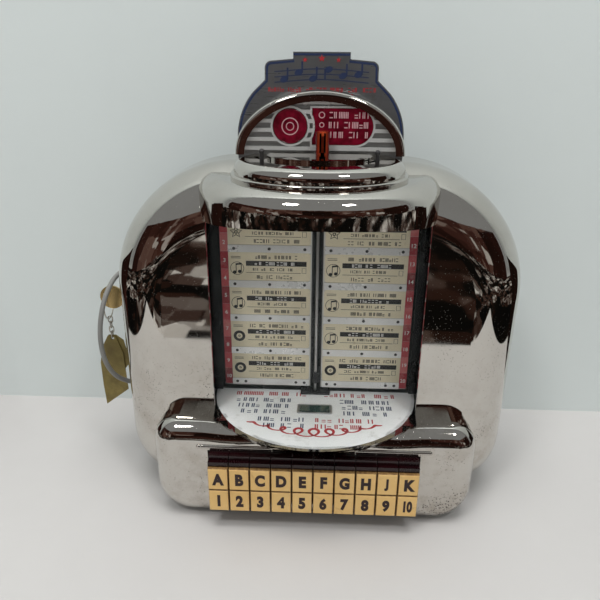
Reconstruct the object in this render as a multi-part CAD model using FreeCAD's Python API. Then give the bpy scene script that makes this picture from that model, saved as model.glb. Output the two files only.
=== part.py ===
import FreeCAD, Part
import math
import os

os.makedirs("parts", exist_ok=True)
Vec = FreeCAD.Vector

# A chrome jukebox wall box with a hundred selections. X runs to the right, +Y to the back and
# +Z up. It stands on z = 0, and y = 0 lies 24 mm behind the flat front of the cover.

# Cover: a rounded shell, open at the back
coverHalfWidth = 157.0
coverHeight = 274.0
coverFrontY = -24.0
coverDepth = 68.0
coverCornerR = 98.0
coverFootR = 50.0
coverEdgeR = 42.0
coverWall = 3.0

# Rear pan: the part that screws to a wall
panDepth = 28.0
panInset = 6.0
panWall = 1.6
panGap = 0.3
boltSpanX = 150.0
boltSpanZ = 140.0
boltHoleR = 3.2
cableHoleR = 12.0

# Window bay, its hood and its floor: their widths follow the radius the pages sweep
pageTipR = 75.0
tipToGlass = 7.0
tipToGlassFront = 4.0
glassToHood = 5.0
glassToHoodFront = 8.0
glassToWindow = 3.0
bayAxisY = 8.0
glassHalfWidth = pageTipR + tipToGlass
glassReach = pageTipR + tipToGlassFront
glassWall = 2.5
bayFloorZ = 84.0
bayFloorThick = 2.4
hoodHalfWidth = glassHalfWidth + glassToHood
hoodReach = glassReach + glassToHoodFront
hoodTopZ = 268.0
hoodLipZ = 237.0
hoodLipRise = 10.0
hoodWall = 3.0
hoodEdgeR = 13.0
windowTopZ = 261.0
windowHalfWidth = glassHalfWidth - glassToWindow
glassTopZ = 251.0

# Base casting: an apron round the bay between two wings
glassToApron = 7.0
glassToApronFront = 3.0
apronFlare = 9.0
apronFlareFront = 20.0
apronToWing = 5.0
wingSlope = 38.0
wingWidth = 31.0
apronHalfWidth = glassHalfWidth + glassToApron
apronReach = glassReach + glassToApronFront
apronFootHalfWidth = apronHalfWidth - apronFlare
apronFootReach = apronReach - apronFlareFront
apronFootZ = 66.0
wingInnerX = apronHalfWidth + apronToWing
valleyX = wingInnerX - wingSlope
baseHalfWidth = wingInnerX + wingWidth
baseFrontY = -50.0
wingTopZ = 86.0
valleyZ = 84.0
wingCornerR = 20.0
baseFootR = 30.0
baseEdgeR = 16.0
baseWall = 3.0
browBeadR = 1.6
browInset = 1.0
browHalfWidth = apronHalfWidth - browInset
browZ = 68.0

# Selector keys: ten letters over ten numbers
keyCount = 10
keyLetters = "ABCDEFGHJK"
keyPitch = 16.0
keyGap = 0.7
keyRowHeight = 19.2
keyRowsBottomZ = 17.4
keyFaceY = -62.0
keyDepth = 11.0
keyTravel = 4.0
keyEdgeR = 1.1
stemWidth = 6.0
stemHeight = 4.0
stemLength = 30.0
stemGap = 0.4
keyFrameThick = 2.0
stripHeight = 7.6
stripStep = 3.0
stripFrontY = -59.5
stripGap = 0.4

# Title pages
pageRows = 5
pagePitch = 29.0
pageFootZ = 92.0
pageThick = 1.6
pageHubR = 2.2
pageSpacing = 2.6
leafCount = 4
spindleR = 1.2
runFit = 0.08
stripTall = 22.8
stripInnerX = 5.5
columnWidth = 6.1
stripWidth = pageTipR - columnWidth - stripInnerX
stripThick = 0.3
railWidth = 6.0
railThick = 0.5

# Coin housing on the hood
trayHalfWidth = 61.0
trayReach = 50.0
trayCentreY = -14.0
trayTall = 12.0
trayLipTall = 3.0
trayRingInset = 2.4
ovalHalfWidth = 36.0
ovalReach = 22.0
ovalCentreY = -12.0
ovalThick = 2.0
domeHalfWidth = 60.0
domeHeight = 43.0
domeFaceY = 0.0
domeDepth = 30.0
domeRollR = 3.4
domeWall = 3.0
finCount = 6
finPitch = 6.2
finTall = 2.6
finReach = 2.6
roundLensR = 12.0
roundLensX = -21.0
lensLift = 19.4
lensTall = 24.4
wideLensLeft = -5.5
wideLensRight = 36.6
lensThick = 3.0
coinBlockX = 1.9
coinBlockWidth = 9.4
coinBlockTall = 15.0
coinBlockDepth = 9.0
coinSlotWidth = 2.6
fingerX = 39.0
fingerY = -18.0
fingerR = 1.5
fingerTopZ = 287.0
leverZ = 254.0
leverThick = 2.0
leverWidth = 7.0
leverTurn = 12.0
leverGap = 0.5

# Topper sign plate behind the dome
topperY = 33.0
topperThick = 1.6
topperTopZ = 347.5
topperFlank = ((62.0, 288.0), (58.5, 306.0), (50.0, 320.0))
topperShoulder = ((41.0, 336.5), (39.6, 340.0), (36.0, 341.5))
topperNotch = (41.0, 328.5)
topperCrown = (20.5, 342.8)

# Hinge at the right rear
hingeInset = 1.0
hingeX = coverHalfWidth - hingeInset
hingeY = 47.6
knuckleR = 3.0
knuckleTall = 12.0
knuckleGap = 0.3
hingePinR = 1.4
hingeLeafThick = 1.2
hingeLeafWidth = 15.0
hingeZs = (62.0, 132.0)

# Lock, key, key ring and tags on the left side
lockY = 27.2
lockZ = 158.0
lockR = 7.0
lockFlangeR = 9.0
lockLength = 16.0
plugR = 5.0
bowR = 10.0
bowThick = 1.6
bowLift = 1.6
keyHoleOffset = 6.2
keyHoleHalfWidth = 1.2
keyHoleReach = 3.5
ringR = 11.4
ringWireR = 0.5
ringTilt = 30.0
camReach = 25.6
camThick = 2.0
camWidth = 8.0
keeperR = 1.5
keeperGap = 0.5
linkCount = 4
linkWireR = 0.5
linkLong = 7.0
linkWide = 4.6
tagThick = 0.8

# Supply cord on the left side between two grommets. Each X counts from the cover's side, and each
# corner is rounded over a share cordBend of its shorter run
cordR = 2.0
cordBend = 0.45
grommetR = 6.6
grommetThick = 2.0
cordRoute = ((3.0, 35.0, 182.0), (-5.0, 30.0, 180.0), (-10.0, 18.0, 173.5), (-14.0, 7.6, 160.0),
             (-18.0, 6.0, 142.0), (-20.0, 7.0, 124.0), (-19.0, 9.5, 106.0), (-15.0, 15.5, 90.5),
             (-7.5, 25.0, 79.0), (3.0, 32.0, 74.0))
cordPoints = [(-coverHalfWidth + x, y, z) for x, y, z in cordRoute]

# Works inside the box
mechHalfWidth = 46.0
mechFrontY = 26.0
cashWidth = 78.0
cashTall = 46.0
cashWall = 1.2
screwR = 3.4

# Clearances that several pieces share
fitGap = 0.25
keyWellMargin = 1.2
grommetWall = 3.1

# Bolt and cable holes of the pan, the rim under the bay, the floor's indicator
boltFootZ = 66.0
cableHoleZ = 40.0
apronRim = 1.5
indicatorWidth = 24.0
indicatorDepth = 9.0
indicatorY = -19.0

# Coin slit through tray, hood and cover, and the details of tray, dome and lenses
coinSlitFrontY = -27.0
coinSlitBackY = -0.6
coinBlockRound = 2.8
trayLipRound = 1.2
trayRingRound = 7.0
domeBackR = 12.0
domeRimRound = 3.0
domeRecess = 5.0
bezelWidth = 1.6
lensRound = 1.0
lensHollow = 2.0

# Frame and spring comb behind the keys
frameRim = 4.0
frameLip = 1.0
frameY = baseFrontY + baseWall
combY = -36.0
combThick = 0.8
combFinger = 2.4

# Frame that carries the pages, with jambs, cheeks and two brackets for the spindle
jambGap = 2.5
jambX = pageTipR + jambGap
jambDepth = 12.4
cheekWall = 2.0
cheekGap = 1.0
cheekTopZ = 214.0
cheekFoot = 9.0
frameTopZ = 253.4
bracketHalf = 12.0
bracketThick = 2.0
backPlateThick = 1.6

# Hubs by which the leaves and levers turn on the spindle
hubTopZ = 240.6
hubLowZ = 93.0
hubTall = 2.6
hubWide = 5.0
hubGap = 0.3
hubInnerX = 3.5
pageMargin = 3.0
pageRestGap = 1.4
leverHubR = 5.0
knobR = 2.0
spindleTopZ = 262.0

# Details of the lock, the key, the chain and its two tags
lockFlangeThick = 1.4
lockNutThick = 3.0
keyBladeLength = 9.0
keyBladeHalf = 3.0
neckHalf = 3.6
linkPlay = 0.3
tagHoleR = 1.6
tagSplit = 0.4
frontTagOutline = ((2.5, 2.7), (-4.0, 2.2), (-10.0, -9.0), (-13.0, -24.0), (-13.0, -46.0),
                   (-12.0, -66.0), (9.0, -50.0), (8.5, -37.0), (8.0, -14.0))
backTagOutline = ((-3.5, 2.7), (3.0, 2.7), (9.0, -2.0), (11.0, -12.0), (11.0, -26.0), (8.0, -30.0),
                  (-7.0, -30.0), (-8.0, -9.0))

# Coin mechanism with ramps that slope to left and right in turn
mechSheet = 1.2
mechFootZ = 60.0
mechTopZ = 240.0
mechThroat = 34.0
mechRails = 5
mechRailPitch = 27.0
mechRailSlope = 14.0
mechRailHigh = 44.0
mechRailLow = 25.0

# Stepping switch on the left, terminal strip on the right
switchFromSide = 59.0
switchX = coverHalfWidth - switchFromSide
switchZ = 128.0
switchR = 30.0
switchPlateHalf = 42.0
switchHubR = 7.0
switchSetback = 6.0
switchPitch = 7.0
switchWafers = 4
terminalDepth = 12.0
terminalCount = 6

# Places that follow from the sizes above
panFrontY = coverFrontY + coverDepth + panGap
panBackY = panFrontY + panDepth
trayTopZ = hoodTopZ + trayTall
keyRowsTopZ = keyRowsBottomZ + 2 * keyRowHeight + keyGap
keysHalfWidth = keyPitch * keyCount / 2
keyWellBottomZ = keyRowsBottomZ - keyWellMargin
stripFootZ = keyRowsTopZ + stripGap
keyWellTopZ = stripFootZ + stripHeight + stripGap
floorBackY = bayAxisY + glassWall
apronClearZ = bayFloorZ + fitGap
panelY = domeFaceY + domeRecess
lensZ = trayTopZ + lensLift
lockFaceX = -coverHalfWidth
camX = lockFaceX + lockLength
keeperY = lockY + camReach
keeperX0 = -(coverHalfWidth - panInset - panWall / 2)
keeperX1 = camX + 2 * camThick


def block(x0, x1, y0, y1, z0, z1):
    return Part.makeBox(x1 - x0, y1 - y0, z1 - z0, Vec(x0, y0, z0))


def rod(start, axis, length, radius):
    return Part.makeCylinder(radius, length, Vec(*start), Vec(*axis))


def join(shapes):
    whole = shapes[0]
    if len(shapes) > 1:
        whole = whole.multiFuse(shapes[1:]).removeSplitter()
    return whole


def line(a, b):
    return Part.makeLine(Vec(*a), Vec(*b))


def arc(a, b, c):
    return Part.Arc(Vec(*a), Vec(*b), Vec(*c)).toShape()


def facetOf(edges):
    return Part.Face(Part.Wire(Part.__sortEdges__(edges)))


def polygonXz(points, y, depth):
    corners = [Vec(x, y, z) for x, z in points]
    return Part.Face(Part.makePolygon(corners + corners[:1])).extrude(Vec(0, depth, 0))


def arcXz(cx, cz, radius, fromDeg, toDeg, y):
    angles = [math.radians(fromDeg + (toDeg - fromDeg) * k / 2) for k in range(3)]
    return arc(*[(cx + radius * math.cos(a), y, cz + radius * math.sin(a)) for a in angles])


def frontEdges(solid, y):
    return [e for e in solid.Edges if abs(e.BoundBox.YMin - y) < 0.001 and abs(e.BoundBox.YMax - y) < 0.001]


def levelEdges(solid, z):
    return [e for e in solid.Edges if abs(e.BoundBox.ZMin - z) < 0.001 and abs(e.BoundBox.ZMax - z) < 0.001]


def halfEllipse(halfWidth, reach, centreY, z):
    centre = Vec(0, centreY, z)
    side = centre + Vec(halfWidth, 0, 0)
    front = centre - Vec(0, reach, 0)
    if halfWidth >= reach:
        return Part.Arc(Part.Ellipse(side, front, centre), 0, math.pi).toShape()
    return Part.Arc(Part.Ellipse(front, side, centre), -math.pi / 2, math.pi / 2).toShape()


def bayWire(halfWidth, reach, z, backY):
    left, right = (-halfWidth, bayAxisY, z), (halfWidth, bayAxisY, z)
    backLeft, backRight = (-halfWidth, backY, z), (halfWidth, backY, z)
    edges = [halfEllipse(halfWidth, reach, bayAxisY, z), line(backLeft, backRight)]
    if backY > bayAxisY:
        edges += [line(left, backLeft), line(backRight, right)]
    return Part.Wire(Part.__sortEdges__(edges))


def bayPrism(halfWidth, reach, z0, z1, backY):
    return Part.Face(bayWire(halfWidth, reach, z0, backY)).extrude(Vec(0, 0, z1 - z0))


def ovalPrism(halfWidth, reach, centreY, z0, z1):
    centre = Vec(0, centreY, z0)
    oval = Part.Ellipse(centre + Vec(halfWidth, 0, 0), centre + Vec(0, reach, 0), centre)
    return Part.Face(Part.Wire(oval.toShape())).extrude(Vec(0, 0, z1 - z0))


def loftSolid(wires):
    return Part.makeLoft(wires, True, True)


def mirrorX(shape):
    return shape.mirror(Vec(0, 0, 0), Vec(1, 0, 0))


def turned(shape, centre, axis, degrees):
    copy = shape.copy()
    copy.rotate(Vec(*centre), Vec(*axis), degrees)
    return copy


def tombstoneFace(half, z0, z1, topR, footR, y):
    edges = [line((footR - half, y, z0), (half - footR, y, z0)),
             arcXz(half - footR, z0 + footR, footR, -90, 0, y),
             line((half, y, z0 + footR), (half, y, z1 - topR)),
             arcXz(half - topR, z1 - topR, topR, 0, 90, y),
             line((half - topR, y, z1), (topR - half, y, z1)),
             arcXz(topR - half, z1 - topR, topR, 90, 180, y),
             line((-half, y, z1 - topR), (-half, y, z0 + footR)),
             arcXz(footR - half, z0 + footR, footR, 180, 270, y)]
    return facetOf(edges)


def coverSolid(inset, backY):
    y = coverFrontY + inset
    face = tombstoneFace(coverHalfWidth - inset, inset, coverHeight - inset,
                         coverCornerR - inset, coverFootR - inset, y)
    solid = face.extrude(Vec(0, backY - y, 0))
    return solid.makeFillet(coverEdgeR - inset, frontEdges(solid, y))


coverBackY = coverFrontY + coverDepth
pastBackY = coverBackY + coverWall
coverOuter = coverSolid(0.0, coverBackY)


def coverShell():
    shell = coverOuter.cut(coverSolid(coverWall, pastBackY))
    frontCut = coverFrontY - coverWall
    window = block(-windowHalfWidth, windowHalfWidth, frontCut, bayAxisY,
                   bayFloorZ - bayFloorThick, windowTopZ)
    keysHalf = keysHalfWidth + keyWellMargin
    keyWell = block(-keysHalf, keysHalf, frontCut, bayAxisY, keyWellBottomZ, keyWellTopZ)
    side = -coverHalfWidth - coverWall
    lockHole = rod((side, lockY, lockZ), (1, 0, 0), 3 * coverWall, lockR + fitGap)
    topSlots = [fingerSlot(side, windowTopZ - coverWall, coverHeight) for side in (-1, 1)]
    cuts = [window, keyWell, lockHole, coinSlit(windowTopZ - coverWall, coverHeight)] + topSlots
    for x, y, z in (cordPoints[0], cordPoints[-1]):
        cuts.append(rod((side, y, z), (1, 0, 0), 3 * coverWall, cordR + grommetWall))
    return shell.cut(Part.makeCompound(cuts))


def rearPan():
    def tub(inset, y0, y1):
        half = coverHalfWidth - panInset - inset
        top = coverHeight - panInset - inset
        face = tombstoneFace(half, inset, top, coverCornerR - panInset - inset,
                             coverFootR - panInset - inset, y0)
        return face.extrude(Vec(0, y1 - y0, 0))
    pan = tub(0.0, panFrontY, panBackY).cut(tub(panWall, panFrontY - panWall, panBackY - panWall))
    holes = []
    for x in (-boltSpanX / 2, boltSpanX / 2):
        for z in (boltFootZ, boltFootZ + boltSpanZ):
            holes.append(rod((x, panFrontY, z), (0, 1, 0), 2 * panDepth, boltHoleR))
    holes.append(rod((0, panFrontY, cableHoleZ), (0, 1, 0), 2 * panDepth, cableHoleR))
    pan = pan.cut(Part.makeCompound(holes))
    keeper = rod((keeperX0, keeperY, lockZ), (1, 0, 0), keeperX1 - keeperX0, keeperR)
    return join([pan, keeper])


def fingerSlot(side, z0, z1):
    reach = math.hypot(fingerX, fingerY - bayAxisY)
    start = math.degrees(math.atan2(fingerY - bayAxisY, side * fingerX))
    half = fingerR + leverGap
    centre = (0, bayAxisY, z0)
    outer = Part.makeCylinder(reach + half, z1 - z0, Vec(*centre), Vec(0, 0, 1), leverTurn)
    inner = rod(centre, (0, 0, 1), z1 - z0, reach - half)
    sector = turned(outer.cut(inner), centre, (0, 0, 1), start - leverTurn)
    ends = []
    for angle in (start - leverTurn, start):
        a = math.radians(angle)
        ends.append(rod((reach * math.cos(a), bayAxisY + reach * math.sin(a), z0), (0, 0, 1), z1 - z0, half))
    return join([sector] + ends)


def coinSlit(z0, z1):
    half = coinSlotWidth / 2
    return block(coinBlockX - half, coinBlockX + half, coinSlitFrontY, coinSlitBackY, z0, z1)


def windowHood():
    startZ = hoodLipZ - hoodLipRise
    outer = bayPrism(hoodHalfWidth, hoodReach, startZ, hoodTopZ, bayAxisY + hoodWall)
    rim = [e for e in levelEdges(outer, hoodTopZ) if e.BoundBox.YMin < 0]
    outer = outer.makeFillet(hoodEdgeR, rim)
    innerTop = hoodTopZ - hoodWall
    inner = bayPrism(hoodHalfWidth - hoodWall, hoodReach - hoodWall, startZ - hoodWall, innerTop,
                     bayAxisY + 2 * hoodWall)
    rim = [e for e in levelEdges(inner, innerTop) if e.BoundBox.YMin < 0]
    inner = inner.makeFillet(hoodEdgeR - hoodWall, rim)
    lipR = (hoodHalfWidth ** 2 + hoodLipRise ** 2) / (2 * hoodLipRise)
    lip = rod((0, -2 * hoodReach, hoodLipZ + hoodLipRise - lipR), (0, 1, 0), 3 * hoodReach, lipR)
    hood = outer.cut(Part.makeCompound([inner, lip])).cut(coverOuter)
    slots = [fingerSlot(side, innerTop - hoodWall, hoodTopZ + hoodWall) for side in (-1, 1)]
    slots.append(coinSlit(innerTop - hoodWall, hoodTopZ + hoodWall))
    return hood.cut(Part.makeCompound(slots))


def bayGlass():
    outer = bayPrism(glassHalfWidth, glassReach, bayFloorZ, glassTopZ, bayAxisY)
    inner = bayPrism(glassHalfWidth - glassWall, glassReach - glassWall, bayFloorZ, glassTopZ, bayAxisY)
    return outer.cut(inner)


def windowFloor():
    plate = bayPrism(glassHalfWidth, glassReach, bayFloorZ - bayFloorThick, bayFloorZ, floorBackY)
    window = block(-indicatorWidth / 2, indicatorWidth / 2, indicatorY - indicatorDepth / 2,
                   indicatorY + indicatorDepth / 2, bayFloorZ - 2 * bayFloorThick, bayFloorZ + bayFloorThick)
    return plate.cut(window)


def indicatorLens():
    halfX, halfY = indicatorWidth / 2 - fitGap, indicatorDepth / 2 - fitGap
    return block(-halfX, halfX, indicatorY - halfY, indicatorY + halfY,
                 bayFloorZ - bayFloorThick, bayFloorZ + 0.5 * bayFloorThick)


def baseFace(inset, y):
    half = baseHalfWidth - inset
    foot, corner = baseFootR - inset, wingCornerR - inset
    top, valley = wingTopZ - inset, valleyZ - inset
    dx, dz = (wingInnerX - valleyX) / 2, (wingTopZ - valleyZ) / 2
    bend = (dx ** 2 + dz ** 2) / (2 * dz)
    lean = math.degrees(math.asin(dx / bend))
    crestZ, hollowZ = wingTopZ - bend, valleyZ + bend
    right = [arcXz(half - foot, inset + foot, foot, -90, 0, y),
             line((half, y, inset + foot), (half, y, top - corner)),
             arcXz(half - corner, top - corner, corner, 0, 90, y),
             line((half - corner, y, top), (wingInnerX, y, top)),
             arcXz(wingInnerX, crestZ, bend - inset, 90, 90 + lean, y),
             arcXz(valleyX, hollowZ, bend + inset, -90 + lean, -90, y)]
    left = [mirrorX(edge) for edge in right]
    across = [line((foot - half, y, inset), (half - foot, y, inset)),
              line((-valleyX, y, valley), (valleyX, y, valley))]
    return facetOf(right + left + across)


def baseSolid(inset, backY):
    y = baseFrontY + inset
    solid = baseFace(inset, y).extrude(Vec(0, backY - y, 0))
    return solid.makeFillet(baseEdgeR - inset, frontEdges(solid, y))


def baseCasting():
    rimZ, deckZ = bayFloorZ, bayFloorZ - bayFloorThick
    outerApron = loftSolid([bayWire(apronFootHalfWidth, apronFootReach, apronFootZ, bayAxisY),
                            bayWire(apronHalfWidth, apronReach, rimZ, bayAxisY)])
    inset = baseWall + apronRim
    innerApron = loftSolid([bayWire(apronFootHalfWidth - inset, apronFootReach - inset, apronFootZ - baseWall,
                                    bayAxisY + baseWall),
                            bayWire(apronHalfWidth - inset, apronReach - inset, deckZ - baseWall,
                                    bayAxisY + baseWall)])
    outer = baseSolid(0.0, bayAxisY).fuse(outerApron)
    seat = bayPrism(glassHalfWidth + fitGap, glassReach + fitGap, deckZ, wingTopZ + baseWall,
                    bayAxisY + baseWall)
    keysHalf = keysHalfWidth + keyWellMargin
    keyWell = block(-keysHalf, keysHalf, baseFrontY - baseWall, baseFrontY + 2 * baseWall,
                    keyWellBottomZ, keyWellTopZ)
    casting = outer.cut(baseSolid(baseWall, bayAxisY + baseWall)).cut(innerApron).cut(seat).cut(keyWell)
    bead = rod((-browHalfWidth, baseFrontY, browZ), (1, 0, 0), 2 * browHalfWidth, browBeadR)
    ends = [Part.makeSphere(browBeadR, Vec(x, baseFrontY, browZ)) for x in (-browHalfWidth, browHalfWidth)]
    return join([casting, bead] + ends).cut(coverOuter)


def coinTray():
    lipTopZ, inset = hoodTopZ + trayLipTall, trayRingInset
    lip = ovalPrism(trayHalfWidth, trayReach, trayCentreY, hoodTopZ, lipTopZ)
    ring = ovalPrism(trayHalfWidth - inset, trayReach - inset, trayCentreY, lipTopZ, trayTopZ)
    rings = [lip.makeFillet(trayLipRound, levelEdges(lip, lipTopZ)),
             ring.makeFillet(trayRingRound, levelEdges(ring, trayTopZ))]
    oval = ovalPrism(ovalHalfWidth, ovalReach, ovalCentreY, trayTopZ, trayTopZ + ovalThick)
    behind = block(-ovalHalfWidth, ovalHalfWidth, domeFaceY, domeFaceY + ovalReach, trayTopZ,
                   trayTopZ + 2 * ovalThick)
    rings.append(oval.cut(behind))
    slots = [fingerSlot(side, hoodTopZ - trayLipTall, trayTopZ + 2 * ovalThick) for side in (-1, 1)]
    slots.append(coinSlit(hoodTopZ - trayLipTall, trayTopZ + 2 * ovalThick))
    return join(rings).cut(coverOuter).cut(Part.makeCompound(slots))


def archFace(inset, z0, y):
    half, tall = domeHalfWidth - inset, domeHeight - inset
    centre = Vec(0, y, z0)
    arch = Part.Ellipse(centre + Vec(half, 0, 0), centre + Vec(0, 0, tall), centre)
    return facetOf([Part.Arc(arch, 0, math.pi).toShape(), line((-half, y, z0), (half, y, z0))])


def lensHole(radius, margin, y0, y1):
    return rod((roundLensX, y0, lensZ), (0, 1, 0), y1 - y0, radius + margin)


def wideLensSolid(margin, y0, y1):
    half = lensTall / 2 + margin
    right = wideLensRight + margin
    bar = block(wideLensLeft - lensTall, right - half, y0, y1, lensZ - half, lensZ + half)
    end = rod((right - half, y0, lensZ), (0, 1, 0), y1 - y0, half)
    near = rod((roundLensX, y0, lensZ), (0, 1, 0), y1 - y0, wideLensLeft + lensHollow - roundLensX - margin)
    left = block(wideLensLeft - 2 * lensTall, wideLensLeft - margin, y0, y1, lensZ - 2 * half,
                 lensZ + 2 * half)
    return join([bar, end]).cut(Part.makeCompound([near, left]))


def coinDome():
    backY = domeFaceY + domeDepth
    seatZ = trayTopZ
    outer = archFace(0.0, seatZ, domeFaceY).extrude(Vec(0, domeDepth, 0))
    outer = outer.makeFillet(domeBackR, [e for e in frontEdges(outer, backY) if e.BoundBox.ZMax > seatZ + 1])
    rim = [e for e in frontEdges(outer, domeFaceY) if e.BoundBox.ZMax > seatZ + 1]
    outer = outer.makeFillet(domeRimRound, rim)
    recess = archFace(2 * domeRollR, seatZ, domeFaceY - 1).extrude(Vec(0, domeRecess + 1, 0))
    panelBack = domeFaceY + domeRecess + domeWall
    inside = archFace(2 * domeRollR, seatZ + domeWall, panelBack)
    inside = inside.extrude(Vec(0, backY - domeBackR - panelBack, 0))
    fins = []
    for k in range(finCount):
        z = seatZ + finPitch * (k + 0.5)
        fins.append(block(-domeHalfWidth, domeHalfWidth, panelY - finReach, panelY + 1, z, z + finTall))
    fins = Part.makeCompound(fins).common(recess)
    y0, y1 = domeFaceY - 1, panelBack + 1
    pockets = Part.makeCompound([lensHole(roundLensR, fitGap, y0, y1), wideLensSolid(fitGap, y0, y1)])
    bezels = [lensHole(roundLensR, bezelWidth, panelY - finReach, panelY + 1),
              wideLensSolid(bezelWidth, panelY - finReach, panelY + 1).common(recess)]
    shell = outer.cut(recess).cut(inside).cut(coverOuter)
    return join([shell, fins] + bezels).cut(pockets)


def roundLens():
    lens = lensHole(roundLensR, 0.0, panelY - finReach, panelY - finReach + lensThick)
    return lens.makeFillet(lensRound, frontEdges(lens, panelY - finReach))


def wideLens():
    return wideLensSolid(0.0, panelY - finReach, panelY - finReach + lensThick)


def coinSlotInsert():
    half = coinBlockWidth / 2
    seatZ = trayTopZ + ovalThick
    insert = block(coinBlockX - half, coinBlockX + half, domeFaceY - coinBlockDepth, domeFaceY,
                   seatZ, seatZ + coinBlockTall)
    upright = [e for e in insert.Edges
               if e.BoundBox.ZLength > coinBlockTall - 1 and e.BoundBox.YMax < domeFaceY]
    insert = insert.makeFillet(coinBlockRound, upright)
    return insert.cut(coinSlit(seatZ - 1, seatZ + coinBlockTall - coinSlotWidth))


def topperPlate():
    def edges(flip):
        points = [(flip * x, z) for x, z in topperFlank + (topperNotch,) + topperShoulder]
        (a, b, c, notch, d, e, f) = [(x, topperY, z) for x, z in points]
        crown = (flip * topperCrown[0], topperY, topperCrown[1])
        tip = (flip * topperCrown[0], topperY, topperTopZ)
        return [line((a[0], topperY, coverHeight), a), arc(a, b, c), line(c, notch), line(notch, d),
                arc(d, e, f), line(f, crown), line(crown, tip)]
    across = [line((-topperCrown[0], topperY, topperTopZ), (topperCrown[0], topperY, topperTopZ)),
              line((-topperFlank[0][0], topperY, coverHeight), (topperFlank[0][0], topperY, coverHeight))]
    return facetOf(edges(-1) + edges(1) + across).extrude(Vec(0, topperThick, 0)).cut(coverOuter)


def keyColumns():
    return [(k - (keyCount - 1) / 2) * keyPitch for k in range(keyCount)]


keyRowZs = (keyRowsBottomZ, keyRowsBottomZ + keyRowHeight + keyGap)


def selectorKey(x, z):
    half = (keyPitch - keyGap) / 2
    cap = block(x - half, x + half, keyFaceY, keyFaceY + keyDepth, z, z + keyRowHeight)
    cap = cap.makeFillet(keyEdgeR, frontEdges(cap, keyFaceY))
    middle = z + keyRowHeight / 2
    stem = block(x - stemWidth / 2, x + stemWidth / 2, keyFaceY + keyDepth, keyFaceY + keyDepth + stemLength,
                 middle - stemHeight / 2, middle + stemHeight / 2)
    return join([cap, stem])


def keyFrame():
    outerHalf = keysHalfWidth + keyWellMargin + frameRim
    innerHalf = keysHalfWidth + keyWellMargin
    z0, z1 = keyWellBottomZ - frameLip, keyWellTopZ + frameLip
    backY = frameY + keyTravel + keyFrameThick
    frame = block(-outerHalf, outerHalf, frameY, backY, z0, z1)
    well = block(-innerHalf, innerHalf, frameY - 1, backY - keyFrameThick, keyWellBottomZ, keyWellTopZ)
    frame = frame.cut(well)
    holes = []
    halfX, halfZ = stemWidth / 2 + stemGap, stemHeight / 2 + stemGap
    for x in keyColumns():
        for rowZ in keyRowZs:
            middle = rowZ + keyRowHeight / 2
            holes.append(block(x - halfX, x + halfX, frameY, backY + 1, middle - halfZ, middle + halfZ))
    return frame.cut(Part.makeCompound(holes))


def keyStepStrip():
    backY = frameY + keyTravel
    steps = []
    half = (keyPitch - keyGap) / 2
    for x in keyColumns():
        low = block(x - half, x + half, stripFrontY, backY, stripFootZ, stripFootZ + stripHeight / 2)
        high = block(x - half, x + half, stripFrontY + stripStep, backY, stripFootZ, stripFootZ + stripHeight)
        steps.append(join([low, high]))
    spine = block(-keysHalfWidth + keyGap, keysHalfWidth - keyGap, baseFrontY, backY,
                  stripFootZ, stripFootZ + stripHeight)
    return join(steps + [spine])


def springComb():
    plateY = frameY + keyTravel + keyFrameThick
    top = keyWellTopZ + frameLip
    bar = block(-keysHalfWidth, keysHalfWidth, combY, combY + combThick, keyWellTopZ - frameRim, top)
    fingers = [block(x + stemWidth / 2 + stemGap, x + stemWidth / 2 + stemGap + combFinger, combY,
                     combY + combThick, keyWellBottomZ, top) for x in keyColumns()]
    posts = [block(x - frameRim, x + frameRim, plateY, combY, top - frameRim, top)
             for x in (keyColumns()[0], 0.0, keyColumns()[-1])]
    return join([bar] + fingers + posts)


pageTopZ = pageFootZ + pageRows * pagePitch
backPlateY = bayAxisY + jambDepth


def onSpindle(radius, z0, z1):
    return rod((0, bayAxisY, z0), (0, 0, 1), z1 - z0, radius)


def pageFrame():
    cheekX = glassHalfWidth + cheekGap
    plate = block(-cheekX, cheekX, backPlateY, backPlateY + backPlateThick, bayFloorZ + fitGap, frameTopZ)
    pieces = [plate]
    innerFrontY = coverFrontY + coverWall
    for flip in (False, True):
        jamb = block(jambX, cheekX, bayAxisY + panGap, backPlateY, bayFloorZ + fitGap, frameTopZ)
        cheek = block(cheekX, cheekX + cheekWall, innerFrontY, backPlateY + backPlateThick,
                      apronClearZ, cheekTopZ)
        foot = block(cheekX + cheekWall, cheekX + cheekWall + cheekFoot, innerFrontY,
                     innerFrontY + cheekWall, apronClearZ, cheekTopZ)
        side = join([jamb, cheek, foot])
        pieces.append(mirrorX(side) if flip else side)
    for z in (bayFloorZ + fitGap, frameTopZ - bracketThick):
        pieces.append(block(-bracketHalf, bracketHalf, bayAxisY - leverHubR, backPlateY, z, z + bracketThick))
    frame = join(pieces)
    return frame.cut(onSpindle(spindleR, bayFloorZ, frameTopZ + 1))


def pageSpindle():
    return onSpindle(spindleR, bayFloorZ, spindleTopZ)


def pageSheet(x0, x1, faceY):
    return block(x0, x1, faceY, faceY + pageThick, pageFootZ - pageMargin, pageTopZ + pageMargin)


def railBars(side, faceY):
    x0, x1 = sorted((side * stripInnerX, side * (stripInnerX + stripWidth)))
    bars = []
    for k in range(pageRows + 1):
        z = pageFootZ + k * pagePitch
        bars.append(block(x0, x1, faceY - railThick, faceY, z - railWidth / 2, z + railWidth / 2))
    return bars


def titleStrips(side, faceY):
    x0, x1 = sorted((side * stripInnerX, side * (stripInnerX + stripWidth)))
    strips = []
    for k in range(pageRows):
        z = pageFootZ + k * pagePitch + (pagePitch - stripTall) / 2
        strips.append(block(x0, x1, faceY - stripThick, faceY, z, z + stripTall))
    return Part.makeCompound(strips)


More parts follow.
